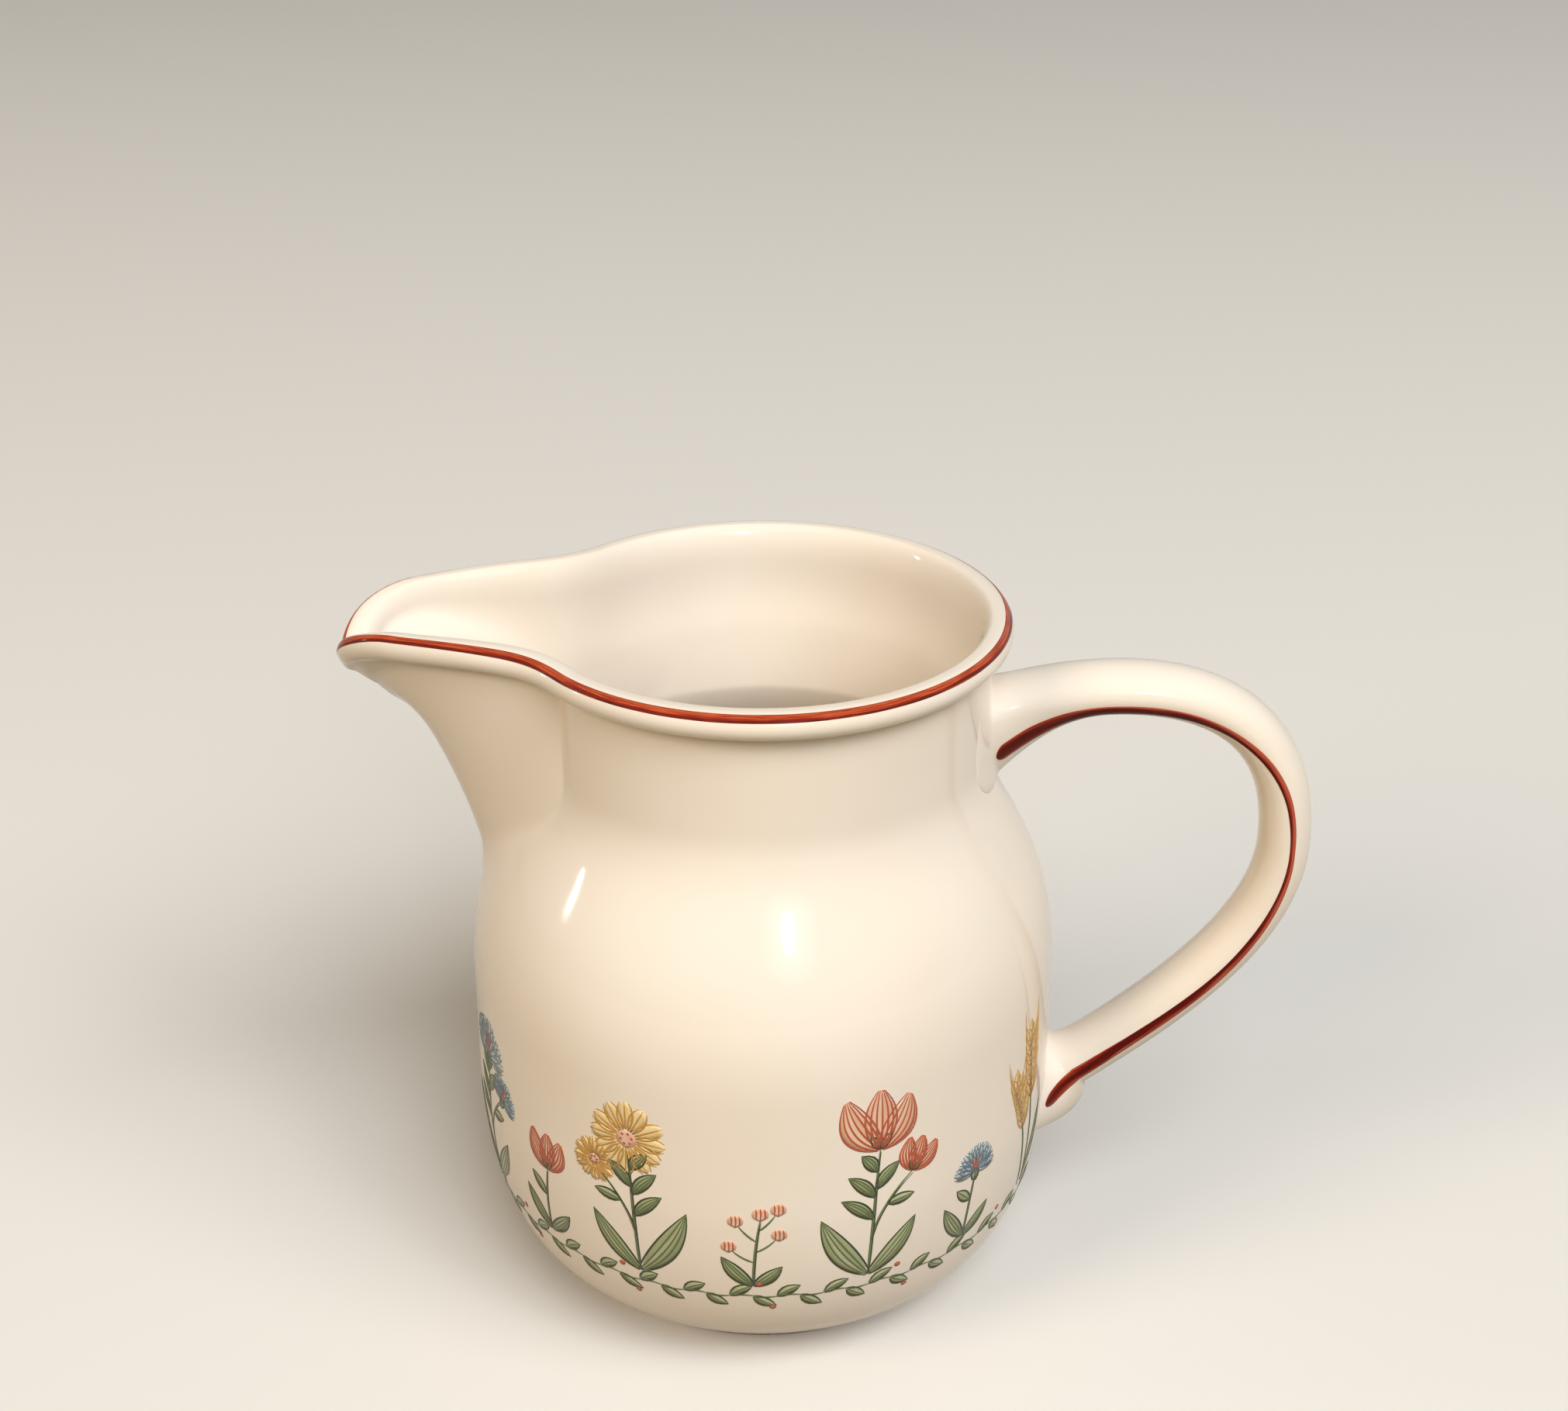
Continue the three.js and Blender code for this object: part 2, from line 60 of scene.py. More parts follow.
# %% Find the axis
foot_low, foot_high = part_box("foot_ring")
AXIS_X = (foot_low.x + foot_high.x) / 2
TO_FRAME = Matrix.Translation((AXIS_X, 0, 0)) @ Matrix.Scale(MM, 4)
print("the pot's axis is at x =", round(AXIS_X / MM, 2), "mm")

# %% [markdown]
# ## Camera
# The photograph looks down on the near side, with the spout on the left. The camera's place was found by
# matching the round rim and the outline. A 57 mm lens on the usual 36 mm sensor gives the same perspective.
# The colours are shown as they are written, with the Standard view.

# %% Make the camera
CAMERA_PLACE = (17.3, -451.4, 345.6)
CAMERA_PITCH = 25.66
CAMERA_TURN = 1.64
CAMERA_LENS = 56.97


def add_object(name, data):
    thing = bpy.data.objects.new(name, data)
    bpy.context.scene.collection.objects.link(thing)
    return thing


camera_data = bpy.data.cameras.new("camera")
camera_data.lens = CAMERA_LENS
camera_data.sensor_width = 36
camera_data.clip_start = 0.01
camera = add_object("camera", camera_data)
camera.location = TO_FRAME @ Vector(CAMERA_PLACE)
camera.rotation_euler = (math.radians(90 - CAMERA_PITCH), 0, math.radians(CAMERA_TURN))
bpy.context.scene.camera = camera
bpy.context.scene.view_settings.view_transform = "Standard"
print("camera at", [round(v, 3) for v in camera.location])

# %% [markdown]
# ## Curves
# A potter's profile is a few smooth sweeps. A Bezier curve gives such a sweep from three or four points,
# so the pot, the spout and the handle all share one short helper. Others measure along a curve, space points
# closer where the shape changes fast, and give a curve's direction. Smoothstep eases one form into another,
# and a soft maximum joins two forms with a rounded corner in between, as slip does on real clay.

# %% Helpers for curves
def bezier(points, steps):
    t = np.linspace(0, 1, steps + 1)[:, None]
    rows = [np.array(point, float)[None, :] for point in points]
    while len(rows) > 1:
        rows = [(1 - t) * a + t * b for a, b in zip(rows, rows[1:])]
    return rows[0]


def spaced(spans):
    parts = [np.linspace(low, high, steps + 1)[1:] for low, high, steps in spans]
    return np.concatenate([[spans[0][0]], *parts])


def run_along(path):
    return np.concatenate([[0], np.cumsum(np.hypot(*np.diff(path, axis=0).T))])


def direction(path):
    way = np.gradient(path, axis=0)
    return way / np.linalg.norm(way, axis=1)[:, None]


def smoothstep(value, low, high):
    share = np.clip((value - low) / (high - low), 0, 1)
    return share * share * (3 - 2 * share)


def soft_max(a, b, softness):
    near = np.clip(softness - np.abs(a - b), 0, None) / softness
    return np.maximum(a, b) + near * near * softness / 4


def fade(distance, run, power=2):
    return np.clip(1 - distance / run, 0, 1) ** power


print("a bezier's middle:", bezier([(0, 0), (0, 1), (1, 1)], 2)[1])

# %% [markdown]
# ## Building rings
# A bmesh circle can grow into a whole pot: its edges are extruded, and the new edges are moved to the next
# outline. Each outline is a list of points of equal count. That keeps clean rings of quads, which take a
# gloss without ripples.

# %% Helpers for rings and pieces
def ring_edges(bm, ring):
    return [bm.edges.get((a, b)) for a, b in zip(ring, ring[1:] + ring[:1])]


def first_ring(bm, outline):
    ring = bmesh.ops.create_circle(bm, segments=len(outline), radius=1)["verts"]
    for vert, place in zip(ring, outline):
        vert.co = place
    return ring


def next_ring(bm, ring, outline):
    made = bmesh.ops.extrude_edge_only(bm, edges=ring_edges(bm, ring))["geom"]
    fresh = {item for item in made if isinstance(item, bmesh.types.BMVert)}
    grown = []
    for vert, place in zip(ring, outline):
        above = next(e.other_vert(vert) for e in vert.link_edges if e.other_vert(vert) in fresh)
        above.co = place
        grown.append(above)
    return grown


def join_rings(bm, outlines):
    rings = [first_ring(bm, outlines[0])]
    for outline in outlines[1:]:
        rings.append(next_ring(bm, rings[-1], outline))
    return rings


def close_ends(bm, rings):
    for ring in (rings[0], rings[-1]):
        bmesh.ops.edgeloop_fill(bm, edges=ring_edges(bm, ring))


def finish_piece(bm, name, material, replaced=()):
    bmesh.ops.transform(bm, matrix=TO_FRAME, verts=bm.verts)
    mesh = bpy.data.meshes.new(name)
    bm.to_mesh(mesh)
    bm.free()
    mesh.shade_smooth()
    piece = add_object(name, mesh)
    mesh.materials.append(material)
    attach(piece, "root")
    if replaced:
        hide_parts(*replaced)
    print(name, "has", len(mesh.vertices), "points and", len(mesh.polygons), "faces")


print("a drawn millimetre is", round(TO_FRAME.to_scale().x, 6), "m in the frame")

# %% [markdown]
# ## Glaze
# The jug is covered with a warm cream glaze, glossy and a little uneven. A Principled shader with a low
# roughness makes the gloss. Wide noise shifts the cream slightly, as glaze does where it lies thicker, and a
# very shallow bump keeps the reflections from looking machine-made.

# %% Helpers for node materials
def new_material(name):
    material = bpy.data.materials.new(name)
    material.use_nodes = True
    tree = material.node_tree
    return material, tree, tree.nodes["Principled BSDF"]


def noise(tree, scale, detail, coordinates=None):
    texture = tree.nodes.new("ShaderNodeTexNoise")
    texture.inputs["Scale"].default_value = scale
    texture.inputs["Detail"].default_value = detail
    if coordinates is None:
        coordinates = tree.nodes.new("ShaderNodeTexCoord").outputs["Object"]
    tree.links.new(coordinates, texture.inputs["Vector"])
    return texture.outputs["Fac"]


def ramp(tree, factor, stops):
    node = tree.nodes.new("ShaderNodeValToRGB")
    while len(node.color_ramp.elements) < len(stops):
        node.color_ramp.elements.new(0.5)
    for element, (place, color) in zip(node.color_ramp.elements, stops):
        element.position = place
        element.color = color
    tree.links.new(factor, node.inputs["Fac"])
    return node.outputs["Color"]


def spread(tree, factor, between, onto):
    node = tree.nodes.new("ShaderNodeMapRange")
    node.inputs["From Min"].default_value, node.inputs["From Max"].default_value = between
    node.inputs["To Min"].default_value, node.inputs["To Max"].default_value = onto
    tree.links.new(factor, node.inputs["Value"])
    return node.outputs["Result"]


def combine(tree, operation, first, second):
    node = tree.nodes.new("ShaderNodeMath")
    node.operation = operation
    tree.links.new(first, node.inputs[0])
    tree.links.new(second, node.inputs[1])
    return node.outputs[0]


def bump(tree, shader, height, strength, distance):
    node = tree.nodes.new("ShaderNodeBump")
    node.inputs["Strength"].default_value = strength
    node.inputs["Distance"].default_value = distance
    tree.links.new(height, node.inputs["Height"])
    tree.links.new(node.outputs["Normal"], shader.inputs["Normal"])


print("a ramp colours a pattern, and a spread sets its gloss")

# %% Make the cream glaze
CREAM = (0.87, 0.795, 0.705, 1)
CREAM_THICK = (0.85, 0.76, 0.65, 1)
CLOUD_SCALE, GLOSS_SCALE, RIPPLE_SCALE = 18, 60, 45
GLAZE_ROUGHNESS = (0.06, 0.13)
GLAZE_IOR = 1.5
RIPPLE_HEIGHT = 0.3 * MM

cream_glaze, tree, shader = new_material("cream_glaze")
glaze_colour = ramp(tree, noise(tree, CLOUD_SCALE, 3), [(0.3, CREAM_THICK), (0.62, CREAM)])
tree.links.new(glaze_colour, shader.inputs["Base Color"])
glaze_gloss = spread(tree, noise(tree, GLOSS_SCALE, 3), (0.3, 0.7), GLAZE_ROUGHNESS)
tree.links.new(glaze_gloss, shader.inputs["Roughness"])
shader.inputs["IOR"].default_value = GLAZE_IOR
bump(tree, shader, noise(tree, RIPPLE_SCALE, 2), 0.25, RIPPLE_HEIGHT)
print("made", cream_glaze.name)

# %% [markdown]
# ## The pot's profile
# From the foot the base runs out, turns up in a rounded heel, stands upright round the belly, sweeps in over
# the shoulder and ends in a short straight neck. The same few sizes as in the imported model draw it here.

# %% Draw the outer profile
HEIGHT = 150
BELLY_RADIUS = 60.8
BELLY_LOW, BELLY_HIGH = 46.5, 72.5
NECK_RADIUS, NECK_FOOT = 45.5, 122.5
FOOT_RADIUS, FOOT_WIDTH, FOOT_HEIGHT = 39, 5.5, 3.5
BASE_HEIGHT = 3.8
BEAD_RADIUS = 2.85
BEAD_MIDDLE = (47.1, HEIGHT - BEAD_RADIUS)
BEAD_FILLET = 3
HEEL_PULLS = ((50, 8.2), (59.5, 13.6))
SHOULDER_PULL_OUT, SHOULDER_PULL_IN = 100.5, 107
HEEL_STEPS, UPRIGHT_STEPS, SHOULDER_STEPS, NECK_STEPS = 44, 6, 40, 4

heel = bezier([(FOOT_RADIUS, BASE_HEIGHT), *HEEL_PULLS, (BELLY_RADIUS, BELLY_LOW)], HEEL_STEPS)
upright = bezier([heel[-1], (BELLY_RADIUS, BELLY_HIGH)], UPRIGHT_STEPS)
shoulder = bezier([upright[-1], (BELLY_RADIUS, SHOULDER_PULL_OUT), (NECK_RADIUS, SHOULDER_PULL_IN),
                   (NECK_RADIUS, NECK_FOOT)], SHOULDER_STEPS)
neck_top = BEAD_MIDDLE[1] - BEAD_RADIUS - BEAD_FILLET
neck = bezier([shoulder[-1], (NECK_RADIUS, neck_top)], NECK_STEPS)
outer_profile = np.vstack([heel, upright[1:], shoulder[1:], neck[1:]])


def pot_radius(height):
    return np.interp(height, outer_profile[:, 1], outer_profile[:, 0])


print("the outer profile has", len(outer_profile), "points up to", round(neck_top, 2), "mm")

# %% [markdown]
# ## The beak's plan
# Seen from above, the spout is a beak: two straight sides that meet in a round tip. Each level of the pot
# is drawn in turns about the axis, starting at the tip, so the beak is changed to the same form: its
# distance from the axis at each turn. Past the root its side runs on inside the pot, where the pot's circle
# wins.

# %% Helpers for the beak's plan
SPOUT_REACH = 85
SPOUT_FOOT = 92.5
SPOUT_ROOT = (39, 23.8)
SPOUT_WALL = 4
SIDE_STRAIGHTNESS = 0.74
TIP_ROUNDNESS = 0.26
SIDE_STEPS = 80
SIDE_FALL = 12
TURN_SPANS = ((0, 8, 12), (8, 24, 14), (24, 40, 40), (40, 50, 7), (50, 180, 58))

half_turns = np.radians(spaced(TURN_SPANS))
turns = np.concatenate([half_turns, -half_turns[-2:0:-1]])
aside_turns = np.abs(turns)


def beak_side(root, tip):
    corner = np.array((tip, TIP_ROUNDNESS * (tip - SPOUT_ROOT[0])))
    root = np.array(root, float)
    straight = root + SIDE_STRAIGHTNESS * (corner - root)
    return [root, straight, corner, np.array((tip, 0.0))]


def in_turns(path):
    turn = np.arctan2(path[:, 1], path[:, 0])[::-1]
    reach = np.interp(aside_turns, turn, np.hypot(path[:, 0], path[:, 1])[::-1])
    run = run_along(path)
    share = np.interp(aside_turns, turn, (run / run[-1])[::-1], right=0)
    return reach, share


def panel_plan(root, tip):
    curve = beak_side(root, tip)
    reach, share = in_turns(bezier(curve, SIDE_STEPS))
    along = (curve[1] - curve[0]) / np.linalg.norm(curve[1] - curve[0])
    across = np.array((-along[1], along[0]))
    depth = across @ curve[0]
    nearest = math.atan2(across[1], across[0])
    root_turn = math.atan2(curve[0][1], curve[0][0])
    line = depth / np.cos(np.clip(aside_turns, root_turn, nearest) - nearest)
    line -= SIDE_FALL * np.clip(aside_turns - nearest, 0, None)
    return np.where(aside_turns > root_turn, line, reach), share


print("each ring has", len(turns), "points")

# %% [markdown]
# ## Keel and lip
# The keel is the beak's front edge: it leaves the shoulder steeply and sweeps out under the lip. The lip
# carries the rolled rim along the beak, rises a little on the way and hangs at its tip.

# %% Helpers for keel and lip
LIP_UNDERCUT, LIP_DEPTH = 6, 7
LIP_ARCH, LIP_DROOP, LIP_DROOP_START = 0.8, 9, 0.64
LIP_FILLET_TURN = math.radians(42)
LIP_FILLET_END = (50.5, 21.3)
KEEL_LEAVE, KEEL_ARRIVE = np.array((1, 11.5)), np.array((11, 14))
KEEL_FALL = 1.2
KEEL_STEPS, LIP_FILLET_STEPS = 60, 24

keel_top = np.array((SPOUT_REACH - LIP_UNDERCUT, HEIGHT - LIP_DEPTH))
keel_root = np.array((pot_radius(SPOUT_FOOT), SPOUT_FOOT))
keel = bezier([keel_root, keel_root + KEEL_LEAVE, keel_top - KEEL_ARRIVE, keel_top], KEEL_STEPS)
keel_along = direction(keel)
keel_inside = keel + SPOUT_WALL * np.column_stack([-keel_along[:, 1], keel_along[:, 0]])


def keel_reach(height, line):
    below = np.clip(line[0, 1] - height, 0, None)
    return np.interp(height, line[:, 1], line[:, 0]) - KEEL_FALL * below


def lip_plan(outside):
    radius = BEAD_MIDDLE[0] + outside
    way = np.array((math.cos(LIP_FILLET_TURN), math.sin(LIP_FILLET_TURN)))
    start = radius * way
    side = beak_side((LIP_FILLET_END[0], LIP_FILLET_END[1] + outside), SPOUT_REACH - BEAD_RADIUS + outside)
    along = (side[1] - side[0]) / np.linalg.norm(side[1] - side[0])
    pull = (LIP_FILLET_END[0] - start[0]) / 2
    leave = start + pull * np.array((way[1], -way[0]))
    fillet = bezier([start, leave, side[0] - pull * along, side[0]], LIP_FILLET_STEPS)
    reach, share = in_turns(np.vstack([fillet, bezier(side, SIDE_STEPS)[1:]]))
    return np.where(aside_turns > LIP_FILLET_TURN, radius, reach), share


def lip_lift(share):
    arch = LIP_ARCH * np.sin(np.pi * np.minimum(share / LIP_DROOP_START, 1))
    hang = np.clip((share - LIP_DROOP_START) / (1 - LIP_DROOP_START), 0, None)
    return arch - LIP_DROOP * hang ** 2


def level(reach, height):
    height = np.broadcast_to(height, reach.shape)
    return np.column_stack([-reach * np.cos(turns), reach * np.sin(turns), height])


def round_level(radius, height):
    return level(np.full(len(turns), float(radius)), height)


print("the keel runs from", np.round(keel[0], 1), "to", np.round(keel[-1], 1))

# %% [markdown]
# ## Outside of the pot and the spout
# The rings climb from the base to the rim. Where the beak stands out past the pot, a soft maximum joins the
# two with a rounded crease, softer where the keel leaves the shoulder and pinched in a little beside the
# neck. A beak could also be a second mesh pushed into the pot, but the real one flows out of the wall.

# %% Draw the outside rings
ROUND_TO, BEAK_FROM = SPOUT_FOOT - 6, SPOUT_FOOT - 5
BEAK_RINGS, FILLET_STEPS = 46, 6
CREASE_SOFT, CREASE_SHARP = 4, 1.8
CREASE_LOW, PINCH_LOW, CREASE_HIGH = 98, 100, 118
CREASE_PINCH, PINCH_RUN, PINCH_START = 1.3, 2.4, 0.9
TIP_FROM, TIP_FULL = 0.55, 0.95

outside = [round_level(r, z) for r, z in outer_profile if z < ROUND_TO]
for height in np.linspace(BEAK_FROM, neck_top, BEAK_RINGS):
    beak, share = panel_plan(SPOUT_ROOT, keel_reach(height, keel))
    softness = CREASE_SOFT + (CREASE_SHARP - CREASE_SOFT) * smoothstep(height, CREASE_LOW, CREASE_HIGH)
    pot = np.full(len(turns), float(pot_radius(height)))
    past = pot - beak
    pinch = np.exp(-np.abs(past) / np.where(past > 0, PINCH_RUN, PINCH_START))
    pinch *= CREASE_PINCH * smoothstep(height, PINCH_LOW, CREASE_HIGH)
    reach = soft_max(pot, beak, softness) - pinch
    hang = smoothstep(height, NECK_FOOT, HEIGHT - LIP_DEPTH)
    outside.append(level(reach, height + hang * lip_lift(share)))

under_lip, under_share = reach, share
lip_middle, lip_share = lip_plan(0)
at_tip = smoothstep(lip_share, TIP_FROM, TIP_FULL)
for t in np.linspace(0, 1, FILLET_STEPS + 1)[1:-1]:
    out = t * t + (t - t * t) * at_tip
    height = neck_top + BEAD_FILLET * (t + (t - t * t) * (1 - at_tip))
    hang = smoothstep(height, NECK_FOOT, HEIGHT - LIP_DEPTH)
    lift = (1 - t) * hang * lip_lift(under_share) + t * lip_lift(lip_share)
    outside.append(level(under_lip + (lip_middle - under_lip) * out, height + lift))


def bead_ring(turn, grow=0.0):
    angle = math.radians(turn)
    plan, share = lip_plan((BEAD_RADIUS + grow) * math.cos(angle))
    return level(plan, BEAD_MIDDLE[1] + (BEAD_RADIUS + grow) * math.sin(angle) + lip_lift(share))


BEAD_STEP = 12
bead = [bead_ring(turn) for turn in range(-90, 91, BEAD_STEP)]
print(len(outside), "rings outside,", len(bead), "round the bead")

# %% [markdown]
# ## Inside of the pot and the spout
# The rim is rolled outwards only. Its top is almost flat, rounds over and runs smoothly down the mouth.
# Under the neck the wall turns outwards at a clear edge and follows the belly down to the flat floor. The
# spout's channel opens widely into the mouth, so its corner is much softer than the crease outside.

# %% Draw the inside rings
WALL, FLOOR_TOP = 4.5, 8.8
RIM_FLAT, RIM_ROUND_IN = 1.2, 2.4
RIM_ROUND, RIM_ROUND_TIP = 7, 3.5
INNER_EDGE = 113.5
MOUTH_PULL_HIGH, MOUTH_PULL_LOW = 134, 128
INNER_SHOULDER_PULL, INNER_SHOULDER_PULL_LOW = (43.4, 103.5), 89
INNER_HEEL_PULLS = ((55, 18.6), (45.5, FLOOR_TOP))
FLOOR_RADIUS, FLOOR_RINGS = 34.5, (26, 16, 6)
CHANNEL_INSET, CHANNEL_SOFT, CHANNEL_RINGS = 3, 4, 84
TIP_NEAR, TIP_CLEAR = 0.05, 0.4
OPEN_RUN, OPEN_RUN_TIP = 16, 5
HANG_FROM = NECK_FOOT + 2
INSIDE_ROUND_TO = SPOUT_FOOT - 8
ROUND_STEPS, MOUTH_STEPS, INNER_SHOULDER_STEPS, INNER_HEEL_STEPS = 12, 24, 30, 24

neck_inside = NECK_RADIUS - WALL
belly_inside = BELLY_RADIUS - WALL
mouth_edge = BEAD_MIDDLE[0] - RIM_FLAT - RIM_ROUND_IN
mouth = bezier([(mouth_edge, HEIGHT - RIM_ROUND), (mouth_edge, MOUTH_PULL_HIGH),
                (neck_inside, MOUTH_PULL_LOW), (neck_inside, INNER_EDGE)], MOUTH_STEPS)
inner_shoulder = bezier([mouth[-1], INNER_SHOULDER_PULL, (belly_inside, INNER_SHOULDER_PULL_LOW),
                         (belly_inside, BELLY_HIGH)], INNER_SHOULDER_STEPS)[1:]
inner_heel = bezier([(belly_inside, BELLY_LOW), *INNER_HEEL_PULLS, (FLOOR_RADIUS, FLOOR_TOP)],
                    INNER_HEEL_STEPS)
inner_profile = np.vstack([mouth, inner_shoulder, inner_heel])
lip_flat, lip_flat_share = lip_plan(-RIM_FLAT)
lip_inside, lip_inside_share = lip_plan(-RIM_FLAT - RIM_ROUND_IN)
away_from_tip = smoothstep(aside_turns, TIP_NEAR, TIP_CLEAR)
round_depth = RIM_ROUND_TIP + (RIM_ROUND - RIM_ROUND_TIP) * away_from_tip
open_run = OPEN_RUN_TIP + (OPEN_RUN - OPEN_RUN_TIP) * away_from_tip
channel_root = (SPOUT_ROOT[0], SPOUT_ROOT[1] - CHANNEL_INSET)

inside = [level(lip_flat, HEIGHT + lip_lift(lip_flat_share))]
round_turns = np.linspace(0, math.pi / 2, ROUND_STEPS + 1)[1:]
round_heights = HEIGHT - RIM_ROUND * (1 - np.cos(round_turns))
channel_heights = np.linspace(HEIGHT - RIM_ROUND, ROUND_TO, CHANNEL_RINGS)[1:]
for height in np.concatenate([round_heights, channel_heights]):
    circle = np.interp(height, inner_profile[::-1, 1], inner_profile[::-1, 0])
    channel, share = panel_plan(channel_root, keel_reach(height, keel_inside))
    reach = soft_max(np.full(len(turns), circle), channel, CHANNEL_SOFT)
    rounded = np.clip((HEIGHT - height) / round_depth, 0, 1)
    lip = lip_flat + (lip_inside - lip_flat) * np.sqrt(1 - (1 - rounded) ** 2)
    open_mouth = 1 - smoothstep(HEIGHT - round_depth - height, 0, open_run)
    reach = reach + (lip - reach) * open_mouth
    hang = smoothstep(height, HANG_FROM, BEAD_MIDDLE[1])
    share = share + (lip_inside_share - share) * open_mouth
    inside.append(level(reach, height + hang * lip_lift(share)))
inside += [round_level(r, z) for r, z in inner_profile if z < INSIDE_ROUND_TO]
inside += [round_level(r, FLOOR_TOP) for r in FLOOR_RINGS]
print(len(inside), "rings inside")

# %% [markdown]
# ## The jug itself
# The rings become one closed shell: base, outside, bead, inside and floor. A flat fill closes it under the
# base and on the floor, and the normals are made to point out of the clay.

# %% Make the jug
BASE_RINGS = (8, 20, 33)

bm = bmesh.new()
base = [round_level(r, BASE_HEIGHT) for r in BASE_RINGS]
close_ends(bm, join_rings(bm, base + outside + bead + inside))
bmesh.ops.recalc_face_normals(bm, faces=bm.faces)
finish_piece(bm, "jug", cream_glaze, ["body", "spout", "spout_slip_seam"])

# %% [markdown]
# ## The handle's line
# The handle starts on the neck, rises a little, bends round and comes back to the belly. Two Bezier curves
# in the mirror plane give its middle line, measured along its length so that sections can be placed evenly.

# %% Draw the handle's line
HANDLE_REACH = 107.3
HANDLE_BEND = 100
HANDLE_SINK = 1.2
ROOT_DROP, FOOT_LEVEL = 21.3, 40.5
ROOT_LEAVE, BEND_ABOVE = np.array((25.5, 8.8)), 10.6
BEND_BELOW, FOOT_ARRIVE = 17.4, (13.9, 24)
RUN_STEPS = 150

handle_root = np.array((NECK_RADIUS - HANDLE_SINK, HEIGHT - ROOT_DROP))
handle_foot = np.array((pot_radius(FOOT_LEVEL) - HANDLE_SINK, FOOT_LEVEL))
upper_run = bezier([handle_root, handle_root + ROOT_LEAVE, (HANDLE_REACH, handle_root[1] + BEND_ABOVE),
                    (HANDLE_REACH, HANDLE_BEND)], RUN_STEPS)
foot_pull = (HANDLE_REACH - FOOT_ARRIVE[0], FOOT_LEVEL + FOOT_ARRIVE[1])
lower_run = bezier([upper_run[-1], (HANDLE_REACH, HANDLE_BEND - BEND_BELOW), foot_pull, handle_foot],
                   RUN_STEPS)
handle_line = np.vstack([upper_run, lower_run[1:]])
handle_way = direction(handle_line)
line_run = run_along(handle_line)
HANDLE_LENGTH = line_run[-1]
print("the handle is", round(HANDLE_LENGTH, 1), "mm long")

# %% [markdown]
# ## The handle's sections
# Most of the handle is a plain oval. At the neck it spreads into a thin shield that is pressed on the wall,
# and at the belly it widens and ends in a small thumb-shaped knob below. So each section has three half
# sizes: one to both sides, one towards the outside of the loop and one towards the fingers. Each flare fades
# away over its own run. Close to the wall the section stands upright and follows the round wall, so the root
# hugs it.

# %% Helper for a point on the handle
HALF_WIDTH, HALF_THICK = 7.3, 5.3
SHIELD_HALF_WIDTH, SHIELD_UP, SHIELD_DOWN = 16.4, 10.5, 15.8
KNOB_MIDDLE = np.array((61.8, 39.5))
KNOB_SIZE = np.array((7.8, 8.6))
HUG_RUN = 14
SHIELD_START, SHIELD_FADE, SHIELD_RUN = 1, 1.3, 26
SHIELD_SQUARE = 0.45
ROOT_FLARE, ROOT_FLARE_RUN = 3.2, 10
ROOT_RISE, ROOT_RISE_RUN = 0.6, 4
KNOB_FLARE, KNOB_FLARE_RUN = 9, 8
FOOT_FLARE, FOOT_FLARE_RUN = 1.2, 20
FOOT_DEEPER, FOOT_DEEPER_RUN = 5, 13


def knob_depth(middle, out):
    start = (middle - KNOB_MIDDLE) / KNOB_SIZE
    step = out / KNOB_SIZE
    square, half, rest = step @ step, start @ step, start @ start - 1
    root = half * half - square * rest
    return (math.sqrt(root) - half) / square if root > 0 else 0


def handle_point(run, turn, grow=0.0, share=1.0):
    middle = np.array([np.interp(run, line_run, handle_line[:, k]) for k in (0, 1)])
    way = np.array([np.interp(run, line_run, handle_way[:, k]) for k in (0, 1)])
    back = HANDLE_LENGTH - run
    hug = fade(min(run, back), HUG_RUN)
    out = np.array((-way[1], way[0]))
    upright = np.array((0, 1.0)) if run < back else np.array((0, -1.0))
    out = out + (upright - out) * hug
    out /= np.linalg.norm(out)
    shield = fade(run - SHIELD_START, SHIELD_FADE)
    wide = HALF_WIDTH + ROOT_FLARE * fade(run, ROOT_FLARE_RUN)
    wide += (SHIELD_HALF_WIDTH - HALF_WIDTH - ROOT_FLARE) * shield
    wide += KNOB_FLARE * fade(back, KNOB_FLARE_RUN) + FOOT_FLARE * fade(back, FOOT_FLARE_RUN)
    outer = HALF_THICK + ROOT_RISE * fade(run, ROOT_RISE_RUN)
    outer += (SHIELD_UP - HALF_THICK - ROOT_RISE) * shield
    inner = HALF_THICK + (SHIELD_DOWN - HALF_THICK) * fade(run, SHIELD_RUN)
    inner += FOOT_DEEPER * fade(back, FOOT_DEEPER_RUN)
    if run > back:
        outer = max(outer, knob_depth(middle, out))
    square = 1 - SHIELD_SQUARE * shield
    sine, cosine = math.sin(turn), math.cos(turn)
    thick = (outer if sine > 0 else inner) + grow
    lift = share * thick * math.copysign(abs(sine) ** square, sine)
    aside = share * (wide + grow) * math.copysign(abs(cosine) ** square, cosine)
    reach, height = middle + out * lift
    wall_radius = float(pot_radius(height))
    root_radius = NECK_RADIUS if run < back else float(pot_radius(FOOT_LEVEL))
    wall = math.sqrt(max(wall_radius ** 2 - aside ** 2, 1)) - root_radius
    return Vector((reach + hug * wall, aside, height))


print("at its bend the handle is", round(2 * HALF_WIDTH, 1), "by", round(2 * HALF_THICK, 1), "mm")

# %% [markdown]
# ## The handle itself
# The sections are closer together at both roots, where the shape changes fast. Each ring is extruded from
# the one before. Both ends are closed by ever smaller rings that follow the round wall, so that they stay
# inside the clay: a flat end would cut through to the inside of the neck.

# %% Make the handle
HANDLE_SIDES = 48
FOOT_START = HANDLE_LENGTH - 24
HANDLE_SPANS = ((0, 6, 23), (6, 30, 23), (30, FOOT_START, 59), (FOOT_START, HANDLE_LENGTH, 59))
END_SHARES = (0.25, 0.5, 0.75)

